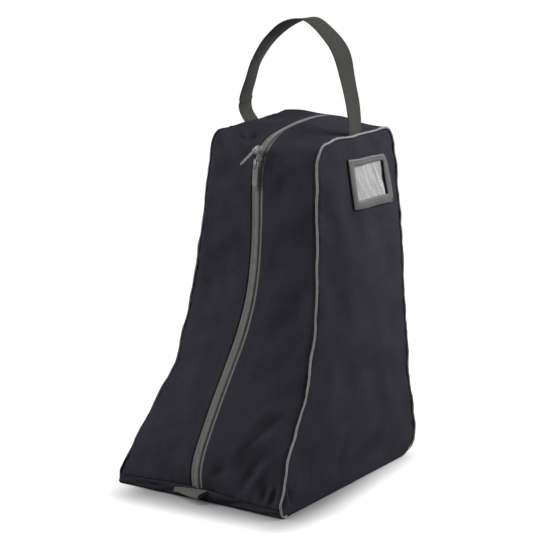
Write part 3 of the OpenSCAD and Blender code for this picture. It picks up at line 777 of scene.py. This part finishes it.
def gusset_cloth(side, folds):
    """One front and top panel: hemmed along the zip, lofted to the side seam. Over the back
    half of the top it falls from the zip like a tent."""
    seed = 21 if side > 0 else 22
    s = station_s[:, None]
    seam_x = half_w(station_seam[:, 1])[:, None] - CLOTH_INSET
    edge = hem_x(side, s)
    hem = [(6.0, -1.35), (1.6, -1.35), (0.45, -1.25), (0.0, -0.7), (0.3, -0.2), (1.0, 0.1)]
    under = np.concatenate([zip_points(s, edge + x, height) for x, height in hem], axis=1)
    x = lerp(edge + HEM_W, seam_x, np.linspace(0, 1, 46) ** 0.92)
    tent = smooth((station_seam[:, 0] - 10) / 90)[:, None]
    grid = loft(x, at_zip(station_s), station_seam, span_share(x, seam_x, tent))
    away, up = seam_x - x, s - FOOT_S
    s = np.broadcast_to(s, x.shape)
    lift = 0.12 - valley(away, 2.0) + edge_puckers(s, away, seed + 1)
    lift = lift + edge_puckers(x, up, seed + 4, 14, 12, 0.7) * smooth((x - edge - 4) / 10)
    ending = smooth((station_s[-1] - s) / 30)
    calm = smooth((x - edge - 8) / 22) * smooth(away / 30) * smooth((up - 4) / 30) * ending
    calm = calm * lerp(1, 0.35, tent)
    lift = lift + calm * (2.4 * undulate(x, s, 95, seed + 2) + 0.7 * undulate(x, s, 36, seed + 3))
    inner = smooth((x - edge - 5) / 10) * smooth(away / 6) * ending
    lift = lift + inner * fold_all(x, s, folds) - 1.3 * hump(up, 0, 1.2)
    grid = np.concatenate([under, raised(grid, lift)], axis=1)
    drop = band_seam_z(side * grid[..., 0]) - station_seam[0, 1]
    grid[..., 2] += drop * hump(up, 0, 24)
    return grid


def back_cloth():
    """The back panel, from the top seam round the back corner and the heel to the base."""
    end, heel_rows = zip_line[-1], 26
    nape_y = float(back_line(BODY_H)) + BACK_BULGE
    mid_top = bezier([end + (0.6, -0.2), end + (6, -3), (nape_y, end[1] - 8),
                      (nape_y, back_corner[1])], np.linspace(0, 1, 16))
    side_back = stack(back_line(back_z), back_z)
    grow = np.linspace(BACK_BULGE, PIPING_R - 0.3, heel_rows)
    side_line = np.vstack([arc(back_corner, BACK_CORNER_R - 0.3, 92, 180, 16), side_back[1:],
                           arc(heel_corner, HEEL_R - 0.3, 180, 268, heel_rows)[1:]])
    mid_line = np.vstack([mid_top, side_back[1:] + (BACK_BULGE, 0),
                          arc(heel_corner, HEEL_R + grow, 180, 268, heel_rows)[1:]])
    u = np.linspace(-1, 1, 72)
    u = u + np.sin(2 * pi * u) / 30
    side_z = side_line[:, 1]
    half = half_w(side_z)[:, None] - CLOTH_INSET - tuck(HEEL_Y - 60, side_z)[:, None]
    x = u * half
    s = np.broadcast_to(lengths(side_line)[:, None], x.shape)
    share = lerp(span_share(np.abs(x), half, 1), u ** 2, smooth(s / 50))
    away = half - np.abs(x)
    lift = edge_puckers(s, away, 31) - valley(away, 1.5)
    calm = smooth(away / 30) * smooth(s / 30) * smooth((s[-1, 0] - 20 - s) / 40)
    lift = lift + calm * (2.0 * undulate(x, s, 110, 33) + 0.45 * undulate(x, s, 36, 34))
    lift = lift + fold_all(x, s, FOLDS["back"]) * smooth(away / 8) * smooth((s - 8) / 12)
    return raised(loft(x, mid_line, side_line, share), lift)


def base_sheet():
    """The base cloth: flat under the bag, turned up at the toe as a low band."""
    toe = arc((TOE_Y + TOE_R, TOE_R), TOE_R, -90, 0, 10)
    line = np.vstack([resample([(heel_corner[0] + 1, 0.0), toe[0]], 9), toe[1:],
                      resample([(TOE_Y, TOE_R), (TOE_Y, BAND_H)], 0.7)[1:]])
    y, z = line[:, :1], line[:, 1:]
    rim = 0.6 + tuck(y, np.maximum(z, 1.2))
    x = np.linspace(-1, 1, 110) * (half_w(z) - rim)
    away = half_w(z) - np.abs(x)
    high = smooth((z - 1) / (BAND_H - 1)) * (band_seam_z(x) + 0.4 - BAND_H)
    swell = smooth((z - 1) / 3) * smooth((BAND_H - z) / 1.5)
    swell = swell * (0.7 + 0.6 * undulate(x, z * 3, 26, 42)) - valley(away, 1.3) * smooth(z / 6)
    swell = swell + 0.5 * undulate(x, 2 * z, 60, 43) * smooth(z / 4)
    tucked = 1.2 * smooth((z - BAND_H + 0.9) / 0.9)
    bow = 0.5 * np.cos(np.clip(x / 118, -1, 1) * pi / 2) * smooth((TOE_Y + 30 - y) / 30)
    return stack(x, y - swell + tucked, z + high + bow)


# ---- build: cloth ----
# Each panel's folds, on the sides by [y, height], on the gussets by [x, distance along the
# zip] and on the back by [x, distance down from the top seam].
FOLDS = {
    "right_side": [
        (-40, 22, -12, 60, 7, -2.4), (-5, 14, 20, 44, 6, 1.8), (140, 395, 150, 330, 7, 2.6),
        (131, 392, 139, 352, 5, -2.0), (-150, 14, -146, 34, 5, 2.6), (-141, 37, -138, 13, 4, -3.0),
        (-130, 16, -112, 46, 6, 1.8), (40, 24, 75, 40, 8, -1.6), (10, 380, 40, 250, 22, 2.2),
        (60, 170, 90, 90, 24, -2.0), (-60, 90, -20, 150, 16, 1.6)],
    "left_side": [
        (-60, 24, -25, 62, 7, -2.2), (60, 30, 96, 52, 8, -1.8), (130, 380, 146, 330, 7, -2.0),
        (-100, 40, -70, 76, 6, 1.7), (0, 350, 30, 240, 20, 2.0), (70, 180, 100, 90, 22, -1.8)],
    "right_gusset": [
        (12, 450, 70, 443, 7, 3.4), (22, 438, 44, 424, 7, -2.8), (44, 426, 70, 400, 8, -2.4),
        (60, 60, 88, 110, 6, -3.0), (50, 76, 74, 124, 6, 2.2), (82, 54, 60, 12, 5, -2.8),
        (93, 28, 94, 8, 4, -3.4), (99, 26, 99, 8, 3.5, 2.8), (104, 28, 106, 6, 3.5, -3.4),
        (92, 52, 72, 14, 5, 2.4), (40, 40, 60, 84, 9, 1.8), (22, 24, 42, 36, 5, -2.2),
        (30, 300, 60, 360, 16, 1.8), (66, 280, 78, 200, 12, -1.8), (24, 180, 60, 240, 14, -1.6),
        (20, 560, 60, 520, 12, -1.0), (30, 620, 66, 600, 12, 1.4)],
    "left_gusset": [
        (22, 474, 31, 454, 5.5, -5.4), (31, 454, 54, 468, 5.5, -5.0), (16, 437, 58, 448, 9, 4.2),
        (73, 447, 42, 431, 6, -3.0), (58, 432, 74, 408, 7, 2.0), (40, 250, 76, 292, 9, 2.2),
        (34, 222, 72, 262, 9, -2.2), (60, 40, 96, 92, 8, -2.4), (30, 110, 80, 190, 14, 2.0),
        (26, 330, 50, 400, 14, -1.8), (24, 540, 60, 570, 12, 1.8), (70, 20, 104, 46, 6, -2.0),
        (50, 20, 80, 60, 7, 1.8)],
    "back": [
        (-60, 60, -95, 130, 9, -1.6), (50, 330, 92, 392, 8, -1.5), (-20, 372, -80, 398, 8, 1.4),
        (30, 40, 66, 75, 7, -1.2)],
}

for side, name in SIDES:
    mirror = (side, 1, 1)
    grid = side_cloth(side, FOLDS[name + "_side"]) * mirror
    panel = sheet(name + "_side_cloth", grid, flip=side < 0)
    dress(panel, "bag", "body_fabric", name + "_side_panel")
    grid = gusset_cloth(side, FOLDS[name + "_gusset"]) * mirror
    panel = sheet(name + "_gusset_cloth", grid, flip=side > 0)
    dress(panel, "bag", "body_fabric", name + "_gusset")
dress(sheet("back_cloth", back_cloth(), flip=True), "bag", "body_fabric", "back_panel")
dress(sheet("base_cloth_sheet", base_sheet(), flip=True), "bag", "base_fabric", "base_panel")


# ---- piping, stitching and binding ----
def piping(side, name):
    """The piping round one side panel, softly wavy, drawn in under the base. On the left it
    sinks beside the fuller cloth round the foot and along the top."""
    seed, girth = (51, 1.4) if side > 0 else (52, 1.15)
    y, z = seam_loop.T
    s = lengths(seam_loop)
    ahead = heading(seam_loop)
    outward = stack(0, -ahead[:, 1], ahead[:, 0])
    ends = smooth(np.minimum(s, s[-1] - s) / 30)
    sway = ends * 0.28 * undulate(s, 0, 42, seed)
    if side < 0:
        sway = sway - 1.9 * smooth((s - 350) / 25) - 2.2 * smooth((120 - s) / 30)
    sway = np.where(z < 6, 0, sway)
    fine_sway = ends * 0.22 * undulate(s, 0, 16, seed + 5)
    x = half_w(z) - tuck(y, z, CORD_TUCK) + 0.3 * ends * undulate(s, 0, 24, seed + 2)
    line = stack(side * x, y, z) + outward * sway[:, None] + outward * fine_sway[:, None]
    across = np.tile([1.0, 0, 0], (len(s), 1))
    radius = girth * (1 + 0.1 * undulate(s, 0, 11, seed + 4))
    return tube(name + "_piping_cord", line, across, outward, radius, 12)


def binding(side, name):
    """The tape folded over the raw edges of a side seam, inside the bag."""
    y, z = seam_loop.T
    ahead = heading(seam_loop)
    x = half_w(z) - tuck(y, z, CORD_TUCK) - 3.6
    rows = [stack(side * (x - 0.25 * inset), y + inset * ahead[:, 1], z - inset * ahead[:, 0])
            for inset in (3.6, 5.0, 6.6, 8.2)]
    return sheet(name + "_seam_tape", np.array(rows), 0.9, wrap=True, flip=side < 0)


for side, name in SIDES:
    dress(piping(side, name), "bag", "piping", name + "_piping")
    dress(binding(side, name), "bag", "binding", name + "_seam_binding")
    s = np.arange(10, ZIP_LENGTH - 8, STEP)
    line = zip_points(s, side * (hem_x(side, s) + HEM_W), 0.12)
    sewn = stitches(name + "_zip_stitches", line, zip_outward(s))
    dress(sewn, "bag", "body_fabric", material=thread)


# ---- zip ----
TAPE_TOP = -1.45
TOOTH = 1.35


def zip_tape(side, name):
    """Woven tape, with a groove beside the coil and a dip under the cloth's edge."""
    s = np.arange(FOOT_S - 3, ZIP_LENGTH - 1, STEP)[:, None]
    x = np.concatenate([np.linspace(0.35, 2.6, 3), np.linspace(3.1, 5.0, 6),
                        np.linspace(5.6, TAPE_W / 2, 11)])
    groove = 1.5 if side > 0 else 0.45
    height = TAPE_TOP - groove * hump(x, 3.75, 0.7) - 0.8 * smooth((x - 7.3) / 1.4)
    grid = zip_points(s, side * x, height + 0.1 * np.sin(s / 21))
    return sheet(name + "_zip_tape_cloth", grid, 0.6, flip=side > 0)


def zip_coil(side, name):
    """One coil: a row of bent nylon loops whose heads mesh with the other side's."""
    first = FOOT_S + 2 if side > 0 else FOOT_S + 2 + TOOTH / 2
    s = np.arange(first, ZIP_LENGTH - 12, TOOTH)
    starts, ends = (zip_points(s, side * x, TAPE_TOP + 1.0) for x in (-0.7, 3.1))
    profile = [(0, 0.25, 0.2), (0.08, 0.45, 0.5), (0.3, 0.46, 0.7), (0.7, 0.46, 0.65),
               (0.92, 0.45, 0.2), (1, 0.3, -0.7)]
    return beads(name + "_zip_teeth", starts, ends, zip_outward(s), profile)


for side, name in SIDES:
    dress(zip_tape(side, name), "bag", "zip_tape", name + "_zip_tape")
    dress(zip_coil(side, name), "bag", "zip_coil", name + "_zip_coil")
    # Real stitches along the coil, in dark thread whose colour also paints the shade in the groove
    # beside the coil.
    s = np.arange(FOOT_S, ZIP_LENGTH - 8, STEP)
    line = zip_points(s, side * 3.75, TAPE_TOP - 0.95)
    sewn = stitches(name + "_coil_stitches_groove_shade", line, zip_outward(s), 1.6, 0.6, 0.26)
    dress(sewn, "bag", "zip_tape", material=thread)


def end_stop(name, s):
    """A pressed metal staple across the chain's end."""
    middle, t = at_zip(s), zip_tangent(s)
    place = local_frame((0, *middle), (1, 0, 0), (0, *t), (0, -t[1], t[0]))
    return plate(name, [round_rect(7.2, 3.6, 0.8)], 1.6, 0.4, TAPE_TOP + 0.1, place)


dress(end_stop("foot_end_stop", FOOT_S - 1.2), "bag", "bright_metal", "zip_end_stops")
dress(end_stop("top_end_stop", ZIP_LENGTH - 9), "bag", "bright_metal")


# ---- sliders and pulls ----
# How far each slider has run on towards its head, how far its pull droops further, and how
# far it is turned to the left on its loose wire.
SLIDER_RUN = {"lower": 0.2, "upper": 9.5}
PULL_DROOP = {"lower": -4.5, "upper": 9}
PULL_TURN = {"lower": 0, "upper": 8}


def slider_axes(which):
    """A slider's origin on the zip line, with the directions across, towards its head and out."""
    pivot, _ = joint(which + "_slider_run")
    away = unit((middle_of(which + "_slider_body") - pivot) * (0, 1, 1))
    sign, radius = (-1, HOLLOW_R) if which == "lower" else (1, CROWN_R)
    out = sign * away
    along = sign * np.cross((1, 0, 0), out)
    return pivot + away * radius + along * SLIDER_RUN[which], np.cross(along, out), along, out


def slider_body(which, place):
    """Upper and lower plate, with rounded shoulders and a notch between them."""
    half = [(3.3, -5.4), (3.9, -4.9), (4.3, -1.5), (4.8, 1.2), (4.8, 3.6), (4.2, 4.9),
            (3.0, 5.5), (1.0, 5.2)]
    outline = [(-3.3, -5.4), *half, (0, 4.4), *((-x, y) for x, y in half[:0:-1])]
    return (plate(which + "_slider_plate", [outline], 1.4, 0.45, 0.6, place),
            plate(which + "_slider_underplate", [outline], 1.2, 0.3, -4.0, place))


def bail(which, place):
    """The arched bridge that holds the pull."""
    spine = [(-3.0, 1.6), (-3.1, 3.0), (-2.7, 4.7), (-1.4, 5.55), (1.4, 5.55), (2.7, 4.7),
             (3.1, 3.0), (3.0, 1.6)]
    spine = smooth_curve(spine, 0.3, 2) + (2.0, 0)
    t = unit(np.gradient(spine, axis=0))
    section = [(-1.0, -0.35), (-0.75, -0.5), (0.75, -0.5), (1.0, -0.35), (1.1, 0), (1.0, 0.35),
               (0.75, 0.5), (-0.75, 0.5), (-1.0, 0.35), (-1.1, 0)]
    rings = [[(a, p[0] - b * d[1], p[1] + b * d[0]) for a, b in section]
             for p, d in zip(spine, t)]
    return make_mesh(which + "_slider_bail", place(rings), bar_faces(len(spine), len(section)))


def pull_place(which):
    """Local frame of a pull: x along its bar, y back up from the grip, z outwards."""
    pin, axis = joint(which + "_pull_swing")
    across = -axis
    reach = middle_of(which + "_pull_grip") - pin
    down = unit(reach - (reach @ across) * across)
    turn = Matrix.Rotation(radians(PULL_DROOP[which]), 3, Vector(across))
    twist = Matrix.Rotation(radians(-PULL_TURN[which]), 3, Vector(slider_axes(which)[3]))
    down, across = np.array(twist @ turn @ Vector(down)), np.array(twist @ Vector(across))
    return pin + slider_axes(which)[2] * SLIDER_RUN[which], across, -down, np.cross(across, -down)


def wire_loop(which, frame_axes):
    """The pull's wire link: a bar under the bail, two arms and the end in the grip."""
    place = local_frame(*frame_axes)
    loop = close([(x, y - 2.75) for x, y in round_rect(6.0, 6.7, 1.1)], 0.45)
    ahead = heading(loop)
    side = place(stack(ahead[:, 1], -ahead[:, 0], 0)) - place([(0, 0, 0)])
    out = np.tile(frame_axes[3], (len(loop), 1))
    return tube(which + "_pull_wire", place(stack(loop[:, 0], loop[:, 1], 0)), side, out, 0.6, 10)


def grip(which, frame_axes, turn):
    """The moulded grip: a long tab with a round end, a slot for the wire and a raised pad."""
    origin, x, y, z = frame_axes
    turn = radians(turn)
    x, z = x * cos(turn) + z * sin(turn), z * cos(turn) - x * sin(turn)
    place = local_frame(origin, x, y, z)
    half, top, foot = 4.0, -5.0, -31.0

    def outline(inset, crown):
        w = half - inset
        end = [(w * cos(a), foot + half + w * sin(a)) for a in np.linspace(-pi, 0, 17)]
        return end + [(w, top - 3 - inset), (w - crown, top - inset), (crown - w, top - inset),
                      (-w, top - 3 - inset)]

    slot_y, pad_top = -7.6, -10.2
    slot = [(a, b + slot_y) for a, b in round_rect(3.4, 1.9, 0.6)][::-1]
    pad = [(a, min(b, pad_top)) for a, b in outline(1.1, 0.6) if b < -9]
    pad += [(2.9, pad_top), (-2.9, pad_top)]
    return (plate(which + "_grip", [outline(0, 1.0), slot], 1.9, 0.5, -0.95, place),
            plate(which + "_grip_pad", [pad], 0.5, 0.2, 0.75, place))


for which, turn in (("lower", 0), ("upper", 30)):
    slider, pull = which + "_slider", which + "_pull"
    place, axes = local_frame(*slider_axes(which)), pull_place(which)
    top, low = slider_body(which, place)
    dress(top, slider, "slider_metal", slider + "_body")
    dress(low, slider, "slider_metal")
    dress(bail(which, place), slider, "bright_metal", slider + "_bridge")
    dress(wire_loop(which, axes), pull, "bright_metal", pull + "_link")
    body, pad = grip(which, axes, turn)
    dress(body, pull, "pull_grip", pull + "_grip")
    dress(pad, pull, "pull_grip")


# ---- end tab ----
def end_tab():
    """Grosgrain ribbon folded double along its front. It leaves the band's seam, sticks out
    far at its right end and hardly at its left, and is cut open at both ends."""
    share = np.linspace(0, 1, 46)
    x = joint("end_tab_flap")[0][0] - 27.5 + lerp(0, 49, share)
    seam_z = band_seam_z(x) - 1.2 - 2.4 * (1 - share) ** 2
    out = lerp(4.2, 16.5, smooth(share * 1.1))
    drop = lerp(3.0, 5.0, share) + 0.5 * np.sin(share * 5)
    lean = lerp(1.5, -3.0, share)
    gape = 0.8 + 1.5 * smooth((share - 0.3) / 0.7)
    # Round the fold: [share of the way out, side of the ribbon].
    turns = np.radians(np.linspace(90, -90, 9))[1:-1]
    rows = [(way, 1.0) for way in np.linspace(-0.08, 0.9, 10)]
    rows += [(0.9 + 0.1 * cos(a), sin(a)) for a in turns]
    rows += [(way, -1.0) for way in np.linspace(0.9, -0.08, 10)]
    grid = []
    for way, face in rows:
        inside = np.clip(way, 0, 1)
        bow = 1.4 * np.sin(inside * pi * 0.8) * share
        z = seam_z - way * drop + bow + face * (0.55 + gape * inside * 0.6)
        grid.append(stack(x + way * lean, TOE_Y - 0.6 - way * out, z))
    return sheet("end_tab_ribbon", np.array(grid), 0.7)


dress(end_tab(), "end_tab", "end_tab", "zip_end_tab")


# ---- handle ----
# The webbing's front and back edges, left root to right root: [x, height over the seam].
FRONT_EDGE = [(-70, -10), (-77.5, 0), (-86, 11), (-87, 21), (-84, 38), (-72, 71), (-53, 106),
              (-40, 120), (-28, 130), (-14, 137), (0, 140), (13, 138.5), (30, 128), (46, 111),
              (58, 87), (66, 67), (72, 43), (78, 17), (78, 3), (72, -10)]
BACK_EDGE = [(-70, -10), (-77.5, 1), (-86, 9), (-88.5, 18), (-88, 35), (-75, 71), (-56, 98),
             (-44, 111), (-32, 121.5), (-19, 129.5), (-4, 136.5), (8, 140), (18, 139), (36, 129),
             (50, 118), (59, 105), (63, 94), (69, 70), (74, 38), (78.5, 12), (78, 2), (74.5, -10)]
STRAP_W, STRAP_T = 30, 1.9


def strap_cloth():
    """The handle: one length of webbing between its two edges, with rounded borders."""
    marks, turns = np.linspace(0, 1, 260), turns_of(44)
    middle_y, half = middle_of("handle_strap")[1], STRAP_W / 2
    edges = []
    for knots, reach in ((FRONT_EDGE, -half), (BACK_EDGE, half)):
        line = smooth_curve([(x, BODY_H + z) for x, z in knots], 2.0, 3)
        line = read(marks, lengths(line) / lengths(line)[-1], line)
        edges.append(stack(line[:, 0], middle_y + reach, line[:, 1]))
    front, back = edges
    centre = (front + back) / 2
    wide = unit(back - front)
    face = unit(np.cross(wide, np.gradient(centre, axis=0)))
    across = half * np.sign(np.cos(turns)) * np.abs(np.cos(turns)) ** 0.22
    thick = STRAP_T / 2 * np.sign(np.sin(turns)) * np.abs(np.sin(turns)) ** 0.45
    cup = 0.8 * np.sin(marks * pi) ** 0.5
    height = thick + cup[:, None] * (1 - (across / half) ** 2)
    rings = (centre[:, None] + across[None, :, None] * wide[:, None]
             + height[..., None] * face[:, None])
    x, y, z = np.moveaxis(rings, -1, 0)
    x += 1.2 * hump(z - BODY_H - 17 - 0.12 * y, 0, 1.6) * (x < 0)
    return make_mesh("handle_webbing", rings, bar_faces(len(marks), len(turns)),
                     stack(across, lengths(centre)[:, None]))


strap = strap_cloth()
dress(strap, None, "webbing", "handle_strap")
hinge_y = joint("handle_swing")[0][1]
still, swung = ((0, hinge_y * MM, (BODY_H + height) * MM) for height in (3, 25))
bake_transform(strap)
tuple(still)
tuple(swung)


# ---- card pocket ----
def on_panel(points):
    """Turns (along, up, height) on the pocket into points over the pillowed side panel."""
    a, b, height = np.moveaxis(np.asarray(points, float), -1, 0)
    y = pocket_middle[1] + a * cos(pocket_turn) - b * sin(pocket_turn)
    z = pocket_middle[2] + a * sin(pocket_turn) + b * cos(pocket_turn)

    def depth(y, z):
        return half_w(z) + pillow(y, z)

    slope_y = (depth(y + 2, z) - depth(y - 2, z)) / 4
    slope_z = (depth(y, z + 2) - depth(y, z - 2)) / 4
    return stack(depth(y, z), y, z) + height[..., None] * unit(stack(1, -slope_y, -slope_z))


# Outlines on the panel, from the middle of the CAD frame: [towards the back, up].
BORDER = [(-47.5, -31.5), (43.5, -33), (45.2, -29), (44.8, -18), (42.8, -4), (39.6, 10), (36, 23),
          (33.8, 28), (30, 31.5), (-56, 32)]
WINDOW = [(-43.5, 22.5), (27.5, 23.5), (33.5, -21.5), (-38.5, -20.3)]


def pocket_edge(outline, radius):
    """Points of an outline with rounded corners, at even turns about the window's middle."""
    outline, middle = np.array(outline, float), (-5, 1)
    points = []
    for corner, a, b in zip(outline, np.roll(outline, 1, axis=0), np.roll(outline, -1, axis=0)):
        start, end = corner + radius * unit(a - corner), corner + radius * unit(b - corner)
        points += [(1 - t) ** 2 * start + 2 * t * (1 - t) * corner + t * t * end
                   for t in np.linspace(0, 1, 4)]
    line = close(points, 0.8) - middle
    angle = np.arctan2(line[:, 1], line[:, 0])
    turns = np.linspace(-pi, pi, 240, endpoint=False)
    reach = np.interp(turns, np.sort(angle), np.hypot(*line.T)[np.argsort(angle)], period=2 * pi)
    return middle + reach[:, None] * stack(np.cos(turns), np.sin(turns))


def pocket_border():
    """The vinyl border, free and bowed along its back edge."""
    outer, inner = pocket_edge(BORDER, 1.6), pocket_edge(WINDOW, 1.0)
    rows = []
    for share, height in ((1, 0), (1, 0.7), (0.965, 1.1), (0.7, 1.1), (0.35, 1.1), (0.04, 1.1),
                          (0, 0.7), (0, 0)):
        flat = lerp(inner, outer, share)
        free = 1.6 * smooth((flat[:, 0] - 28) / 22)
        rows.append(on_panel(np.c_[flat, 1.35 + free + height]))
    return grid_piece("pocket_border", np.array(rows), wrap=True)


def pocket_stitches():
    line = resample([(38, -30), (-44, -28.6), (-52, 29), (27, 28.5)], 2.0)
    line = on_panel(stack(line[:, 0], line[:, 1], 2.5))
    outward = np.tile([1.0, 0, 0], (len(line), 1))
    return stitches("pocket_stitches", line, outward, 2.4, 1.1, 0.2, 0.05)


def card_back(b):
    """The worn, wavy back edge of the card and its film."""
    return 25.5 - 0.15 * b + 0.7 * undulate(b, 0, 11, 62)


def film():
    """Clear film under the border, a little slack."""
    share, b = np.meshgrid(np.linspace(0, 1, 82), np.linspace(-23.5, 26, 50))
    a = lerp(-46, card_back(b) + 0.4, share)
    ripple = 0.7 * undulate(a + 0.8 * b, 0.2 * b, 24, 61) + 0.3 * undulate(a, b, 30, 63)
    stretch = smooth((35 - np.abs(a + 5)) / 6) * smooth((19.5 - np.abs(b - 1.2)) / 6)
    height = 1.18 + (0.2 + 0.5 * ripple) * stretch
    return sheet("window_film", on_panel(stack(a, b, height)), 0.25)


def card():
    """The card lies on the panel and follows its curve; its back edge has worn wavy."""
    b = np.linspace(-26, 26.5, 60)[:, None]
    a = lerp(-44.5, card_back(b), np.linspace(0, 1, 40))
    return sheet("card_paper_sheet", on_panel(stack(a, b, 0.5)), 0.3)


def rivet():
    """A small dark rivet near the pocket's lower back corner."""
    turns = turns_of(12)
    outline = stack(41.5 + 0.9 * np.cos(turns), -29.2 + 0.9 * np.sin(turns))
    return plate("pocket_rivet", [outline], 0.7, 0.25, 3.75, on_panel)


dress(pocket_border(), "bag", "pocket_frame", "pocket_frame")
for piece in (pocket_stitches(), rivet()):
    dress(piece, "bag", "pocket_frame", material=thread)
dress(film(), "bag", "window_film", "pocket_window")
dress(card(), "card", "name_card", "name_card")


# ---- CAD nodes that keep their shape ----
for node, slot, bevel in (("base_board", "base_board", 0.8), ("right_handle_tail", "webbing", 0.6),
                          ("left_handle_tail", "webbing", 0.6)):
    piece = frame["nodes"][node]
    piece.data.materials.clear()
    piece.data.materials.append(MATERIALS[slot])
    rounded = piece.modifiers.new("rounded", "BEVEL")
    rounded.width, rounded.segments, rounded.limit_method = bevel * MM, 2, "ANGLE"


# ---- floor, light and camera ----
def floor():
    """White floor. The share of white that only the camera and reflections see is lowered round the
    bag's foot, which paints a soft shadow there over the floor's own shade from the lamps. Lengths
    here are metres."""
    reach = 6000
    square = [(x * reach, y * reach, 0) for x, y in ((-1, -1), (1, -1), (1, 1), (-1, 1))]
    piece = make_mesh("floor", square, [(0, 1, 2, 3)])
    paint = Paint("floor_paint", (0.36, 0.36, 0.36), 0.9, Specular_IOR_Level=0.1,
                  Emission_Color=(1, 1, 1, 1))
    x, y, _ = paint.split(paint.coordinate("Object"))
    # The painted shadow's core is a box [middle, half its size], narrower towards the back.
    narrower = paint.times(paint.most(paint.add(y, 0.09), 0.0), 0.13)
    beyond = []
    for position, middle, half in ((paint.add(x, narrower), 0.0245, 0.0945), (y, -0.026, 0.144)):
        offset = paint.math("ABSOLUTE", paint.take(position, middle))
        gap = paint.most(paint.take(offset, half), 0.0)
        beyond.append(paint.times(gap, gap))
    away = paint.math("SQRT", paint.add(*beyond))
    # Shares of white, lowest where the shadow is painted: in_front at the core's edge, and the last
    # number well away from it.
    in_front = paint.node("MapRange", {0: y, 1: -0.15, 2: -0.178, 3: 0.0, 4: 0.19})
    white = paint.node("MapRange", {0: away, 2: 0.074, 3: in_front, 4: 0.98},
                       interpolation_type="SMOOTHSTEP")
    paint.set(Emission_Strength=paint.times(paint.seen(), white))
    piece.data.materials.append(paint.material)
    piece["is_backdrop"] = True


def world(horizon, zenith):
    """A studio that is dimmer overhead for diffuse light, and white to camera and reflections."""
    studio = bpy.data.worlds.new("studio")
    bpy.context.scene.world = studio
    nodes = Nodes(studio)
    height = nodes.split(nodes.coordinate("Generated"))[2]
    dome = nodes.node("MapRange", {0: height, 3: horizon, 4: zenith})
    strength = nodes.node("MapRange", {0: nodes.seen(), 3: dome, 4: 1.0})
    nodes.feed(nodes.tree.nodes["Background"], {0: (1, 1, 1, 1), 1: strength})


def aim(made, position, ahead):
    made.location = position
    made.rotation_euler = ahead.to_track_quat("-Z", "Y").to_euler()


def area_light(name, position, target, size, power):
    data = bpy.data.lights.new(name, "AREA")
    data.size, data.energy = size, power
    aim(new_object(name, data), position, Vector(target) - Vector(position))


def camera():
    """The viewing place: 33 degrees round to the right and 13 above, with a long lens."""
    data = bpy.data.cameras.new("camera")
    data.lens, data.sensor_width = 147.35, 36
    data.clip_start, data.clip_end = 0.1, 50
    eye = new_object("camera", data)
    yaw, pitch = radians(33.428), radians(-13.377)
    ahead = Vector((-sin(yaw) * cos(pitch), cos(yaw) * cos(pitch), sin(pitch)))
    aim(eye, (1.48667, -2.25431, 0.90154), ahead)
    bpy.context.scene.camera = eye


floor()
world(horizon=0.068, zenith=0.034)
area_light("key", (0.72, 0.66, 0.9), (0.05, 0.02, 0.3), 0.8, 15.5)
area_light("left", (-1.5, -1.2, 1.15), (0, 0, 0.25), 0.6, 18)
area_light("overhead", (-0.35, -0.9, 1.45), (0, -0.06, 0.3), 0.35, 8)
camera()
bpy.context.scene.view_settings.view_transform = "Standard"

low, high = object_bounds()
{"cad": [list(cad_low), list(cad_high)], "visual": [list(low), list(high)]}
